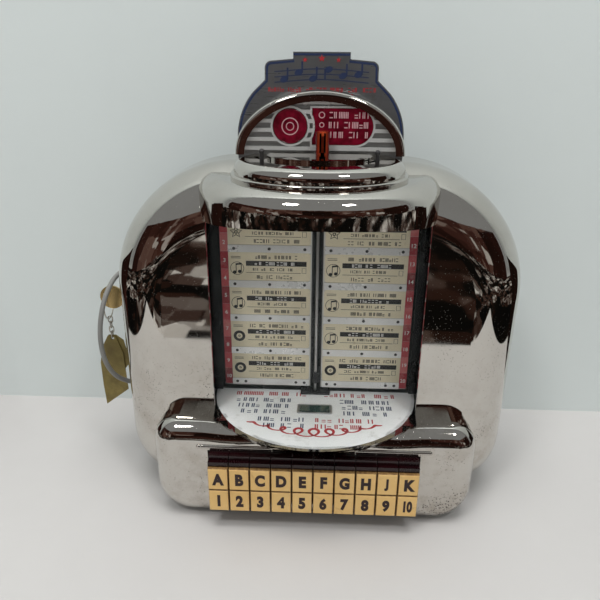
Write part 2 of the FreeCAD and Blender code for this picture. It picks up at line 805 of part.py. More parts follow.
def fixedPages():
    leftY = bayAxisY + pageRestGap
    rightY = bayAxisY + leafCount * pageSpacing
    left = join([pageSheet(-pageTipR, -hubInnerX, leftY)] + railBars(-1, leftY))
    leftRib = block(-2 * hubInnerX, -hubInnerX, leftY + pageThick, backPlateY, pageFootZ, pageTopZ)
    right = pageSheet(hubWide, pageTipR, rightY)
    rightRib = block(hubWide, 2 * hubWide, rightY + pageThick, backPlateY, pageFootZ, pageTopZ)
    return Part.makeCompound([join([left, leftRib]), join([right, rightRib])])


def pageLeaf(k):
    faceY = bayAxisY + k * pageSpacing
    backY = faceY + pageThick
    hubsTall = leafCount * hubTall
    sheet = pageSheet(hubInnerX, pageTipR, faceY)
    riser = block(hubInnerX, 2 * hubWide, faceY, backY, pageTopZ, hubTopZ + hubsTall)
    leaf = join([sheet, riser] + (railBars(1, faceY) if k == 0 else []))
    slots = [block(0, hubWide + hubGap, faceY - 1, backY + 1, z, z + hubsTall) for z in (hubLowZ, hubTopZ)]
    leaf = leaf.cut(Part.makeCompound(slots))
    hinges = []
    for zoneZ in (hubLowZ, hubTopZ):
        z0 = zoneZ + k * hubTall + hubGap / 2
        z1 = z0 + hubTall - hubGap
        hinges.append(block(0, hubWide, bayAxisY, backY, z0, z1))
        hinges.append(block(0, 2 * hubWide, faceY, backY, z0, z1))
        hinges.append(onSpindle(pageHubR, z0, z1))
    return join([leaf] + hinges).cut(onSpindle(spindleR + runFit, pageFootZ - 1, hubTopZ + hubsTall + 1))


def pageLever(side):
    z0 = leverZ if side < 0 else leverZ + leverThick + leverGap
    reach = math.hypot(fingerX, fingerY - bayAxisY)
    angle = math.degrees(math.atan2(fingerY - bayAxisY, side * fingerX))
    arm = block(0, reach, bayAxisY - leverWidth / 2, bayAxisY + leverWidth / 2, z0, z0 + leverThick)
    arm = turned(arm, (0, bayAxisY, z0), (0, 0, 1), angle)
    tip = (side * fingerX, fingerY, z0)
    end = rod(tip, (0, 0, 1), leverThick, leverWidth / 2)
    post = rod(tip, (0, 0, 1), fingerTopZ - knobR - z0, fingerR)
    knob = Part.makeSphere(knobR, Vec(side * fingerX, fingerY, fingerTopZ - knobR))
    lever = join([arm, end, onSpindle(leverHubR, z0, z0 + leverThick), post, knob])
    return lever.cut(onSpindle(spindleR + runFit, z0 - 1, z0 + leverThick + 1))


def hingeLeaf(onDoor):
    pieces = []
    step = knuckleTall + knuckleGap
    for hingeZ in hingeZs:
        offsets = (0, 2) if onDoor else (1,)
        top = hingeZ + 3 * step - knuckleGap
        if onDoor:
            x0 = coverHalfWidth - coverWall - hingeLeafThick
            plate = block(x0, x0 + hingeLeafThick, coverBackY - hingeLeafWidth, coverBackY, hingeZ, top)
        else:
            x0 = coverHalfWidth - panInset
            plate = block(x0, x0 + hingeLeafThick, hingeY, hingeY + hingeLeafWidth, hingeZ, top)
        pieces.append(plate)
        for k in offsets:
            z0 = hingeZ + k * step
            barrel = rod((hingeX, hingeY, z0), (0, 0, 1), knuckleTall, knuckleR)
            if onDoor:
                bridge = block(x0, hingeX - hingePinR, coverBackY - hingeLeafThick, hingeY,
                               z0, z0 + knuckleTall)
                bridge = bridge.cut(coverOuter.cut(coverSolid(coverWall, pastBackY)))
            else:
                bridge = block(x0, hingeX, hingeY, hingeY + hingeLeafThick, z0, z0 + knuckleTall)
            pieces.append(join([barrel, bridge]))
    pins = [rod((hingeX, hingeY, z), (0, 0, 1), 3 * step, hingePinR + runFit) for z in hingeZs]
    groups = []
    for hingeZ in hingeZs:
        near = [p for p in pieces if hingeZ - 1 < p.BoundBox.ZMin < hingeZ + 3 * step]
        groups.append(join(near).cut(Part.makeCompound(pins)))
    return Part.makeCompound(groups)


def hingePins():
    step = knuckleTall + knuckleGap
    return Part.makeCompound([rod((hingeX, hingeY, z), (0, 0, 1), 3 * step - knuckleGap, hingePinR)
                              for z in hingeZs])


def lockBarrel():
    barrel = rod((lockFaceX, lockY, lockZ), (1, 0, 0), lockLength, lockR)
    flange = rod((lockFaceX - lockFlangeThick, lockY, lockZ), (1, 0, 0), lockFlangeThick, lockFlangeR)
    nutX = lockFaceX + coverWall
    nut = rod((nutX, lockY, lockZ), (1, 0, 0), lockNutThick, lockFlangeR)
    bore = rod((lockFaceX - 2 * lockFlangeThick, lockY, lockZ), (1, 0, 0), 2 * lockLength, plugR + runFit)
    return join([barrel, flange, nut]).cut(bore)


def lockPlug():
    x0 = lockFaceX - lockFlangeThick
    plug = rod((x0, lockY, lockZ), (1, 0, 0), camX + camThick - x0, plugR)
    halfThick, halfTall = bowThick / 2 + runFit, keyBladeHalf + runFit
    keyway = block(x0 - 1, x0 + keyBladeLength + fitGap, lockY - halfThick, lockY + halfThick,
                   lockZ - halfTall, lockZ + halfTall)
    gap = camThick / 4
    x1 = camX + gap
    slotInner, slotOuter = camReach - keeperR - keeperGap, camReach + keeperR + keeperGap
    tipReach = slotOuter + camWidth / 3
    cam = block(x1, x1 + camThick, lockY - camWidth / 2, lockY + camWidth / 2, lockZ - tipReach, lockZ)
    hook = block(x1, x1 + camThick, lockY, lockY + camWidth, lockZ - slotOuter, lockZ - slotInner)
    eye = rod((x1, lockY, lockZ - camReach), (1, 0, 0), camThick, keeperR + keeperGap)
    cam = cam.cut(Part.makeCompound([hook, eye]))
    return join([plug.cut(keyway), cam])


def keyBlank():
    bowX = lockFaceX - lockFlangeThick - bowLift - bowR
    y0 = lockY - bowThick / 2
    bow = rod((bowX, y0, lockZ), (0, 1, 0), bowThick, bowR)
    neck = block(bowX, lockFaceX - lockFlangeThick - fitGap, y0, y0 + bowThick,
                 lockZ - neckHalf, lockZ + neckHalf)
    blade = block(bowX, lockFaceX - lockFlangeThick + keyBladeLength, y0, y0 + bowThick,
                  lockZ - keyBladeHalf, lockZ + keyBladeHalf)
    holeX, halfTall = bowX - keyHoleOffset, keyHoleReach - keyHoleHalfWidth
    slot = [block(holeX - keyHoleHalfWidth, holeX + keyHoleHalfWidth, y0 - 1, y0 + bowThick + 1,
                  lockZ - halfTall, lockZ + halfTall)]
    for z in (lockZ - halfTall, lockZ + halfTall):
        slot.append(rod((holeX, y0 - 1, z), (0, 1, 0), bowThick + 2, keyHoleHalfWidth))
    return join([bow, neck, blade]).cut(join(slot))


ringX = lockFaceX - lockFlangeThick - bowLift - bowR - keyHoleOffset
ringLean = math.radians(ringTilt)
ringCentreY = lockY + ringR * math.sin(ringLean)
ringCentreZ = lockZ - ringR * math.cos(ringLean)
ringFootZ = ringCentreZ - ringR


def chainLink(z, acrossX):
    halfLong = (linkLong - linkWide) / 2
    radius = linkWide / 2 - linkWireR
    axis = (0, 1, 0) if acrossX else (1, 0, 0)
    sideways = (1, 0, 0) if acrossX else (0, 1, 0)
    ends = []
    for sign in (-1, 1):
        bend = Part.makeTorus(radius, linkWireR, Vec(ringX, ringCentreY, z + sign * halfLong), Vec(*axis))
        z0, z1 = sorted((z + sign * halfLong, z + sign * (halfLong + linkWide)))
        keep = block(ringX - linkWide, ringX + linkWide, ringCentreY - linkWide,
                     ringCentreY + linkWide, z0, z1)
        ends.append(bend.common(keep))
    for sign in (-1, 1):
        x, y = ringX + sign * radius * sideways[0], ringCentreY + sign * radius * sideways[1]
        ends.append(rod((x, y, z - halfLong), (0, 0, 1), 2 * halfLong, linkWireR))
    return join(ends)


linkPitch = linkLong - 4 * linkWireR - linkPlay
firstLinkZ = ringFootZ + ringWireR + 2 * linkWireR + linkPlay - linkLong / 2
lastWireZ = firstLinkZ - (linkCount - 1) * linkPitch - linkLong / 2 + linkWireR
tagHoleZ = lastWireZ + linkWireR + 2 * linkPlay - tagHoleR


def keyChain():
    ring = Part.makeTorus(ringR, ringWireR, Vec(ringX, ringCentreY, ringCentreZ), Vec(1, 0, 0))
    links = [chainLink(firstLinkZ - k * linkPitch, k % 2 == 0) for k in range(linkCount)]
    return Part.makeCompound([ring] + links)


def keyTags():
    def plate(points, y):
        outline = [(ringX + x, tagHoleZ + z) for x, z in points]
        sheet = polygonXz(outline, y, tagThick)
        hole = rod((ringX, y - 1, tagHoleZ), (0, 1, 0), tagThick + 2, tagHoleR)
        return sheet.cut(hole)
    y0 = ringCentreY - tagThick - tagSplit / 2
    return Part.makeCompound([plate(frontTagOutline, y0), plate(backTagOutline, y0 + tagThick + tagSplit)])


def cordTube():
    points = [Vec(*p) for p in cordPoints]
    edges, radii = [], []
    start = points[0]
    for before, corner, after in zip(points, points[1:], points[2:]):
        into, out = (corner - before), (after - corner)
        turn = into.getAngle(out)
        reach = cordBend * min(into.Length, out.Length)
        into.normalize()
        out.normalize()
        radius = reach / math.tan(turn / 2)
        enter, leave = corner - into * reach, corner + out * reach
        toward = (out - into).normalize()
        middle = corner + toward * (radius / math.cos(turn / 2) - radius)
        edges += [Part.makeLine(start, enter), Part.Arc(enter, middle, leave).toShape()]
        radii.append(round(radius, 1))
        start = leave
    edges.append(Part.makeLine(start, points[-1]))
    path = Part.Wire(edges)
    section = Part.Face(Part.Wire(Part.makeCircle(cordR, points[0], points[1] - points[0])))
    tube = path.makePipe(section)
    swept = math.pi * cordR ** 2 * path.Length
    print("cord radii", radii, "length", round(path.Length, 1), "volume ratio", round(tube.Volume / swept, 4))
    return tube


def cordGrommets():
    rings = []
    for x, y, z in (cordPoints[0], cordPoints[-1]):
        outside = rod((lockFaceX - grommetThick, y, z), (1, 0, 0), grommetThick, grommetR)
        neck = rod((lockFaceX, y, z), (1, 0, 0), coverWall, cordR + grommetWall)
        rings.append(join([outside, neck]))
    return Part.makeCompound(rings).cut(cordTube())


def coinMechanism():
    backY = panBackY - panWall
    sides = []
    for x in (-mechHalfWidth, mechHalfWidth - mechSheet):
        sides.append(block(x, x + mechSheet, mechFrontY, backY, mechFootZ, mechTopZ))
    back = block(-mechHalfWidth, mechHalfWidth, backY - mechSheet, backY, mechFootZ, mechTopZ)
    front = block(-mechHalfWidth, mechHalfWidth, mechFrontY, mechFrontY + mechSheet, mechFootZ,
                  mechTopZ - mechThroat)
    body = join(sides + [back, front])
    rails = []
    for k in range(mechRails):
        z = mechTopZ - mechThroat - (k + 1) * mechRailPitch
        ramp = block(-mechRailHigh, mechRailLow, mechFrontY, backY, z, z + mechSheet)
        ramp = turned(ramp, (0, 0, z), (0, 1, 0), mechRailSlope)
        rails.append(mirrorX(ramp) if k % 2 else ramp)
    inside = block(-mechHalfWidth, mechHalfWidth, mechFrontY, backY, mechFootZ, mechTopZ)
    return join([body] + [rail.common(inside) for rail in rails])


def cashBox():
    half = cashWidth / 2
    y0, y1 = panFrontY + panWall, panBackY - panWall
    z0 = panWall
    box = block(-half, half, y0, y1, z0, z0 + cashTall)
    inside = block(cashWall - half, half - cashWall, y0 + cashWall, y1 - cashWall, z0 + cashWall,
                   z0 + 2 * cashTall)
    return box.cut(inside)


def steppingSwitch():
    backY = panBackY - panWall
    plate = block(-switchX - switchR, -switchX + switchR, backY - mechSheet, backY,
                  switchZ - switchPlateHalf, switchZ + switchPlateHalf)
    hub = rod((-switchX, mechFrontY + switchSetback, switchZ), (0, 1, 0),
              backY - mechFrontY - switchSetback, switchHubR)
    wafers = []
    for k in range(switchWafers):
        y = mechFrontY + switchSetback + (k + 1) * switchPitch
        wafers.append(rod((-switchX, y, switchZ), (0, 1, 0), mechSheet, switchR))
    return join([plate, hub] + wafers)


def terminalStrip():
    backY = panBackY - panWall
    strip = block(switchX - switchR, switchX + switchR, backY - terminalDepth, backY,
                  switchZ - terminalDepth, switchZ + terminalDepth)
    heads = []
    for k in range(terminalCount):
        x = switchX - switchR + (k + 0.5) * 2 * switchR / terminalCount
        for z in (switchZ - terminalDepth / 2, switchZ + terminalDepth / 2):
            heads.append(rod((x, backY - terminalDepth, z), (0, -1, 0), screwR / 2, screwR))
    return join([strip] + heads)


parts = {
    "rear_pan": rearPan(),
    "hinge_fixed_leaves": Part.makeCompound([hingeLeaf(False), hingePins()]),
    "coin_mechanism": coinMechanism(),
    "cash_box": cashBox(),
    "stepping_switch": steppingSwitch(),
    "terminal_strip": terminalStrip(),
    "cover_shell": coverShell(),
    "window_hood": windowHood(),
    "base_casting": baseCasting(),
    "bay_glass": bayGlass(),
    "window_floor": windowFloor(),
    "indicator_lens": indicatorLens(),
    "coin_tray": coinTray(),
    "coin_dome": coinDome(),
    "round_lens": roundLens(),
    "wide_lens": wideLens(),
    "coin_slot_insert": coinSlotInsert(),
    "topper_plate": topperPlate(),
    "hinge_door_leaves": hingeLeaf(True),
    "lock_barrel": lockBarrel(),
    "key_frame": keyFrame(),
    "key_step_strip": keyStepStrip(),
    "spring_comb": springComb(),
    "page_frame": pageFrame(),
    "page_spindle": pageSpindle(),
    "fixed_pages": fixedPages(),
    "title_strips_left": titleStrips(-1, bayAxisY + pageRestGap),
    "title_strips_right": titleStrips(1, bayAxisY),
    "page_lever_left": pageLever(-1),
    "page_lever_right": pageLever(1),
    "lock_plug": lockPlug(),
    "lock_key": keyBlank(),
    "key_chain": keyChain(),
    "key_tags": keyTags(),
    "cord": cordTube(),
    "cord_grommets": cordGrommets(),
}
for k in range(leafCount):
    parts[f"page_leaf_{k + 1}"] = pageLeaf(k)
for k, x in enumerate(keyColumns()):
    parts[f"key_number_{k + 1}"] = selectorKey(x, keyRowZs[0])
    parts[f"key_letter_{keyLetters[k].lower()}"] = selectorKey(x, keyRowZs[1])

for name, shape in parts.items():
    shape.exportStep(f"parts/{name}.step")
print(len(parts), "parts")
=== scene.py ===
import bmesh
import bpy
import math
import random
from mathutils import Matrix, Vector


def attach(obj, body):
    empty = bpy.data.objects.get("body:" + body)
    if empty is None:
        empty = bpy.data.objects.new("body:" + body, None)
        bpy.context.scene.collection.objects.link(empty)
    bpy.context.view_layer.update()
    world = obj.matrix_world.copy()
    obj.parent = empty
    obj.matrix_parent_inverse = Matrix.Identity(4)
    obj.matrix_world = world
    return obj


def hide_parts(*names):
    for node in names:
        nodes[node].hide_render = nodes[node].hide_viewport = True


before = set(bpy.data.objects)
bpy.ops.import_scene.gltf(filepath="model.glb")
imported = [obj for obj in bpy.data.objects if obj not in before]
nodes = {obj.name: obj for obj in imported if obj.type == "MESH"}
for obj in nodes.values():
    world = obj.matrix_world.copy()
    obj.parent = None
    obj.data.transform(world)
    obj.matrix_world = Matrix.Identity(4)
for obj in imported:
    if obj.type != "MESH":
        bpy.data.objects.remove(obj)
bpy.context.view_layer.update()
scene = bpy.context.scene
mm = 0.001


def inMetres(*point):
    return Vector([value * mm for value in point])


# Camera, placed in millimetres: azimuth turns it to the left, pitch tips it down
cameraView = {"place": (3.1, -429.4, 346.1), "azimuth": 2.15, "pitch": 22.27, "roll": 0.45,
              "focalPixels": 601.2, "imagePixels": 600.0, "sensor": 36.0, "clip": 10.0}


def addCamera(view):
    data = bpy.data.cameras.new("cameraData")
    data.sensor_width = view["sensor"]
    data.lens = view["sensor"] * view["focalPixels"] / view["imagePixels"]
    data.clip_start = view["clip"] * mm
    camera = bpy.data.objects.new("camera", data)
    scene.collection.objects.link(camera)
    azimuth, pitch, roll = [math.radians(view[key]) for key in ("azimuth", "pitch", "roll")]
    forward = Vector((-math.sin(azimuth) * math.cos(pitch), math.cos(azimuth) * math.cos(pitch),
                      -math.sin(pitch)))
    right = Vector((math.cos(azimuth), math.sin(azimuth), 0.0))
    up = right.cross(forward)
    tiltedRight = right * math.cos(roll) + up * math.sin(roll)
    tiltedUp = up * math.cos(roll) - right * math.sin(roll)
    turn = Matrix((tiltedRight, tiltedUp, -forward)).transposed().to_4x4()
    camera.matrix_world = Matrix.Translation(inMetres(*view["place"])) @ turn
    scene.camera = camera


addCamera(cameraView)


# Supply cord: a short loop between two grommets on the cover's left side
supplyCord = {"radius": 2.0, "length": 142.4, "steps": 16, "sides": 6,
              "route": ((-154.0, 35.0, 182.0), (-162.0, 30.0, 180.0), (-167.0, 18.0, 173.5),
                        (-171.0, 7.6, 160.0), (-175.0, 6.0, 142.0), (-177.0, 7.0, 124.0),
                        (-176.0, 9.5, 106.0), (-172.0, 15.5, 90.5), (-164.5, 25.0, 79.0),
                        (-154.0, 32.0, 74.0))}


def makeCord(cord):
    data = bpy.data.curves.new("supplyCord", "CURVE")
    data.dimensions = "3D"
    data.resolution_u = cord["steps"]
    data.bevel_depth = 1.0  # in metres, times each point's own radius
    data.bevel_resolution = cord["sides"]
    data.use_fill_caps = True
    spline = data.splines.new("NURBS")
    spline.points.add(len(cord["route"]) - 1)
    for point, place in zip(spline.points, cord["route"]):
        point.co = (*inMetres(*place), 1.0)
        point.radius = cord["radius"] * mm
    spline.order_u = 3
    spline.use_endpoint_u = True
    made = bpy.data.objects.new("supplyCord", data)
    scene.collection.objects.link(made)
    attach(made, "cover")
    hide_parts("cord")
    return made


cordPiece = makeCord(supplyCord)
print("camera and cord made")


# Node networks: one value class for maths, one method for every other node
def operator(operation, swapped=False):
    def run(first, second=0.0):
        pair = (second, first) if swapped else (first, second)
        return first.network.value("ShaderNodeMath", {"operation": operation}, dict(enumerate(pair)))
    return run


class Value:
    __add__, __radd__ = operator("ADD"), operator("ADD", True)
    __sub__, __rsub__ = operator("SUBTRACT"), operator("SUBTRACT", True)
    __mul__, __rmul__ = operator("MULTIPLY"), operator("MULTIPLY", True)
    __truediv__, __gt__, __lt__ = operator("DIVIDE"), operator("GREATER_THAN"), operator("LESS_THAN")
    __abs__, whole, part = operator("ABSOLUTE"), operator("FLOOR"), operator("FRACT")

    def __init__(self, network, socket):
        self.network, self.socket = network, socket


def socketNamed(sockets, key):
    if isinstance(key, str):
        for socket in sockets:
            if socket.identifier == key:
                return socket
    return sockets[key]


class Network:
    def __init__(self, tree):
        self.tree = tree

    def node(self, kind, settings, inputs):
        made = self.tree.nodes.new(kind)
        for key, setting in settings.items():
            if key == "stops":
                self.fillRamp(made.color_ramp, setting)
            else:
                setattr(made, key, setting)
        for key, given in inputs.items():
            socket = socketNamed(made.inputs, key)
            several = given if isinstance(given, list) else [given]
            if isinstance(several[0], Value):
                for one in several:
                    self.tree.links.new(one.socket, socket)
            else:
                socket.default_value = given
        return made

    def value(self, kind, settings, inputs, output=0):
        made = self.node(kind, settings, inputs)
        return Value(self, socketNamed(made.outputs, output))

    def fillRamp(self, ramp, stops):
        while len(ramp.elements) < len(stops):
            ramp.elements.new(1.0)
        for element, (place, colour) in zip(ramp.elements, stops):
            element.position = place
            element.color = (*colour, 1.0)

    def vector(self, **parts):
        return self.value("ShaderNodeCombineXYZ", {}, parts)


# A material whose noises take their place from object coordinates
class Finish(Network):
    def __init__(self, name):
        self.material = bpy.data.materials.new(name)
        self.material.use_nodes = True
        super().__init__(self.material.node_tree)
        self.tree.nodes.clear()
        self.output = self.tree.nodes.new("ShaderNodeOutputMaterial")
        self.spot = self.value("ShaderNodeTexCoord", {}, {}, "Object")
        axes = self.node("ShaderNodeSeparateXYZ", {}, {"Vector": self.spot})
        self.x, self.y, self.z = [Value(self, socket) for socket in axes.outputs]

    def noise(self, scale, detail=3.0, roughness=0.5, spot=None, distortion=0.0):
        return self.value("ShaderNodeTexNoise", {}, {"Vector": spot or self.spot, "Scale": scale,
                          "Detail": detail, "Roughness": roughness, "Distortion": distortion}, "Fac")

    def stretch(self, value, low, high, toLow=0.0, toHigh=1.0):
        return self.value("ShaderNodeMapRange", {"clamp": True}, {"Value": value, "From Min": low,
                          "From Max": high, "To Min": toLow, "To Max": toHigh})

    def patch(self, scale, detail, roughness, low, high, **more):
        return self.stretch(self.noise(scale, detail, roughness, **more), low, high)

    def patches(self, sizes):
        return [self.patch(*size) for size in sizes.values()]

    def ramp(self, value, stops):
        return self.value("ShaderNodeValToRGB", {"stops": stops}, {"Fac": value})

    def mix(self, share, first, second):
        first, second = [colour if isinstance(colour, Value) else (*colour, 1.0)
                         for colour in (first, second)]
        return self.value("ShaderNodeMix", {"data_type": "RGBA"},
                          {"Factor_Float": share, "A_Color": first, "B_Color": second}, "Result_Color")

    def scaled(self, *factors):
        return self.value("ShaderNodeVectorMath", {"operation": "MULTIPLY"},
                          {0: self.spot, 1: factors}, "Vector")

    def bump(self, height, distance, strength=1.0, **under):
        return self.value("ShaderNodeBump", {}, {"Height": height, "Distance": distance * mm,
                                                 "Strength": strength, **under})

    def shine(self, **inputs):
        return self.value("ShaderNodeBsdfPrincipled", {},
                          {key.replace("_", " "): given for key, given in inputs.items()})

    def close(self, shader):
        self.tree.links.new(shader.socket, self.output.inputs["Surface"])
        return self.material

    def finish(self, **inputs):
        return self.close(self.shine(**inputs))


# Rows of a table, each under its name, with the columns named once
def table(columns, rows):
    return {name: dict(zip(columns.split(), row)) for name, row in rows.items()}


def blend(values, shares):
    return sum(value * share for value, share in zip(values, shares))


# Metals: tones, roughness range, pits per metre, share of pits, height under which they gather, wave depth
metals = table("light haze pit rough pits pitShare lowZ wave", {
    "chrome": ((0.62, 0.595, 0.555), (0.4, 0.36, 0.31), (0.05, 0.036, 0.026), (0.025, 0.17), 620.0, 0.08,
               0.17, 0.06),
    "zinc": ((0.62, 0.63, 0.64), (0.44, 0.45, 0.46), (0.2, 0.18, 0.15), (0.32, 0.5), 260.0, 0.04, 0.05, 0.03),
    "hinge_steel": ((0.56, 0.56, 0.56), (0.36, 0.33, 0.3), (0.16, 0.1, 0.06), (0.28, 0.46), 420.0, 0.09,
                    0.16, 0.03),
    "brass": ((0.72, 0.53, 0.24), (0.42, 0.3, 0.14), (0.14, 0.09, 0.05), (0.2, 0.4), 900.0, 0.08, 0.16, 0.02),
    "chain": ((0.55, 0.52, 0.46), (0.34, 0.28, 0.2), (0.12, 0.08, 0.05), (0.26, 0.42), 1200.0, 0.08, 0.16,
              0.02),
})
# Layers of noise: scale, detail and roughness, then the range that is stretched to 0 and 1
metalLayers = {"haze": (11.0, 5.0, 0.62, 0.47, 0.72), "streak": (60.0, 4.0, 0.6, 0.5, 0.8),
               "patches": (26.0, 3.0, 0.6, 0.42, 0.66), "spread": (170.0, 2.0, 0.5, 0.42, 0.5),
               "clouding": (48.0, 7.0, 0.74, 0.46, 0.6)}
metalWear = {"high": 0.15, "spread": 0.36, "tint": (0.35, 0.3, 0.5), "dull": (0.3, 0.2, 0.3, 0.4),
             "pitTint": 0.85, "pitMetal": 0.55, "pitRough": 0.35, "pitRelief": (0.05, 0.35),
             "waves": (17.0, 2.0, 0.4), "waveStrength": 0.5}
# The dome's recess, inside a half ellipse: pale fin faces over a dark bottom, the darkening with depth being
# painted shade
domeRecessShading = {"halfX": 54.5, "halfZ": 37.5, "footZ": 280.0, "frontY": 1.4, "finY": 3.0, "bottomY": 6.5,
              "fin": (0.74, 0.74, 0.72), "shadedBottom": (0.05, 0.048, 0.045), "metal": 0.6, "rough": 0.22}


def metalFinish(name, look, recess=None, wear=metalWear):
    made = Finish(name)
    haze, streak, patches, spread, clouding = made.patches(metalLayers)
    low = made.stretch(made.z, look["lowZ"], 0.0)
    patches = patches * (low * (1.0 - wear["high"]) + wear["high"])
    clouding = clouding * low
    speck = made.value("ShaderNodeTexVoronoi", {}, {"Vector": made.spot, "Scale": look["pits"]}, "Distance")
    pits = (speck < patches * wear["spread"] + look["pitShare"]) * spread
    colour = made.mix(blend((haze, patches, clouding), wear["tint"]), look["light"], look["haze"])
    colour = made.mix(pits * wear["pitTint"], colour, look["pit"])
    dull = blend((haze, streak, patches, clouding), wear["dull"])
    rough = made.stretch(dull, 0.0, 1.0, *look["rough"]) + pits * wear["pitRough"]
    metallic = 1.0 - pits * wear["pitMetal"]
    waves = made.bump(made.noise(*wear["waves"]), look["wave"], wear["waveStrength"])
    dents = made.bump(1.0 - pits, *wear["pitRelief"], Normal=waves)
    # Painted shade in the dome's recess: colour darkens with depth from the pale fin faces to the dark bottom
    if recess:
        across = made.x / (recess["halfX"] * mm)
        tall = (made.z - recess["footZ"] * mm) / (recess["halfZ"] * mm)
        inside = (across * across + tall * tall < 1.0) * (made.y > recess["frontY"] * mm)
        depth = made.stretch(made.y, recess["finY"] * mm, recess["bottomY"] * mm)
        colour = made.mix(inside, colour, made.mix(depth, recess["fin"], recess["shadedBottom"]))
        metallic, rough = metallic - inside * recess["metal"], rough + inside * recess["rough"]
    return made.finish(Base_Color=colour, Metallic=metallic, Roughness=rough, Normal=dents)


# Painted and moulded finishes: two tones, roughness range, grain's scale and depth, tone and share of wear
coatings = table("tones rough grain depth wear wearShare metallic", {
    "pan_steel": (((0.36, 0.37, 0.37), (0.27, 0.275, 0.28)), (0.42, 0.62), 900.0, 0.06, (0.5, 0.48, 0.45),
                  0.1, 0.35),
    "switch": (((0.13, 0.065, 0.035), (0.2, 0.1, 0.05)), (0.4, 0.6), 500.0, 0.03, (0.4, 0.36, 0.3), 0.06,
               0.0),
    "maroon": (((0.016, 0.002, 0.003), (0.009, 0.001, 0.002)), (0.14, 0.3), 700.0, 0.02, (0.06, 0.02, 0.015),
               0.12, 0.0),
    "lever": (((0.03, 0.03, 0.035), (0.06, 0.055, 0.05)), (0.3, 0.5), 800.0, 0.02, (0.3, 0.28, 0.24),
              0.14, 0.2),
    "key_cap": (((0.84, 0.57, 0.23), (0.74, 0.46, 0.16)), (0.24, 0.42), 420.0, 0.02, (0.42, 0.24, 0.08),
                0.16, 0.0),
    "grommet": (((0.05, 0.05, 0.05), (0.08, 0.08, 0.08)), (0.5, 0.7), 700.0, 0.03, (0.16, 0.15, 0.14),
                0.1, 0.0),
    "cord": (((0.2, 0.2, 0.19), (0.27, 0.265, 0.25)), (0.5, 0.68), 1200.0, 0.05, (0.38, 0.36, 0.33), 0.1,
             0.0),
    "tag": (((0.36, 0.28, 0.078), (0.13, 0.096, 0.028)), (0.26, 0.5), 380.0, 0.06, (0.09, 0.06, 0.02),
            0.24, 0.3),
    "rail": (((0.9, 0.9, 0.88), (0.74, 0.74, 0.72)), (0.24, 0.4), 300.0, 0.02, (0.5, 0.47, 0.42), 0.08, 0.35),
    # Near-black finish for the page frame: painted shade, so the gaps beside the pages read dark like the
    # shaded bay
    "jamb": (((0.045, 0.045, 0.048), (0.02, 0.02, 0.021)), (0.14, 0.3), 300.0, 0.02, (0.42, 0.42, 0.4),
             0.1, 0.6),
    "page": (((0.68, 0.68, 0.64), (0.58, 0.57, 0.52)), (0.34, 0.52), 260.0, 0.03, (0.42, 0.38, 0.3), 0.12,
             0.25),
})
coatLayers = {"cloud": (24.0, 4.0, 0.6, 0.32, 0.68), "spread": (15.0, 3.0, 0.5, 0.4, 0.6)}
coatWear = {"grain": (2.0, 0.5), "grainRange": (0.3, 0.8), "grainShare": 0.25, "scuffs": (90.0, 6.0, 0.7),
            "reach": 2.6, "full": 0.8, "bend": 0.6, "tint": 0.8, "dull": (0.5, 0.5), "dullRange": (0.2, 0.8),
            "rough": 0.15, "lift": 0.3, "strength": 0.35}
# Dark binding at the inner edge of the pages, and grime along the edges of the key caps
# Painted shade: the pages darken near their inner edge where they meet, and the key caps darken along their
# edges in the gaps between them
pageRootShade = {"half": 4.4, "tone": (0.035, 0.035, 0.038)}
capEdgeShade = {"pitch": 16.0, "halfWide": 7.15, "rows": (46.9, 27.0), "halfTall": 9.2, "endX": 79.3,
            "patch": (300.0, 4.0, 0.7, 0.3, 0.6), "patchShare": 0.3, "least": 0.6,
            "tone": (0.1, 0.042, 0.014)}


# Painted shade where the pages meet: a dark strip along their inner edge
def bindPages(made, colour):
    return made.mix(abs(made.x) < pageRootShade["half"] * mm, colour, pageRootShade["tone"])


# Painted shade in the gaps between the key caps, varied in strength by a noise patch
def grimeCaps(made, colour, look=capEdgeShade):
    across = abs((made.x / (look["pitch"] * mm)).part() - 0.5) * look["pitch"]
    upper, lower = [abs(made.z - row * mm) / mm for row in look["rows"]]
    along = (upper > look["halfTall"]) * (lower > look["halfTall"])
    patch = made.patch(*look["patch"]) * look["patchShare"] + look["least"]
    across = (across > look["halfWide"]) * (abs(made.x) < look["endX"] * mm)
    share = made.value("ShaderNodeMath", {"operation": "MAXIMUM"}, {0: across, 1: along})
    return made.mix(share * patch, colour, look["tone"])


edging = {"page": bindPages, "key_cap": grimeCaps}


def coatedFinish(name, look, edge=None, wear=coatWear):
    made = Finish(name)
    cloud, spread = made.patches(coatLayers)
    grain = made.noise(look["grain"], *wear["grain"])
    edgeOfWear = 1.0 - look["wearShare"] * wear["reach"]
    scuffs = made.patch(*wear["scuffs"], edgeOfWear, wear["full"], distortion=wear["bend"]) * spread
    colour = made.mix(cloud, *look["tones"])
    colour = made.mix(made.stretch(grain, *wear["grainRange"]) * wear["grainShare"], colour, look["tones"][1])
    colour = made.mix(scuffs * wear["tint"], colour, look["wear"])
    if edge:
        colour = edge(made, colour)
    rough = made.stretch(blend((cloud, grain), wear["dull"]), *wear["dullRange"], *look["rough"])
    return made.finish(Base_Color=colour, Metallic=look["metallic"], Roughness=rough + scuffs * wear["rough"],
                       Normal=made.bump(grain + scuffs * wear["lift"], look["depth"], wear["strength"]))


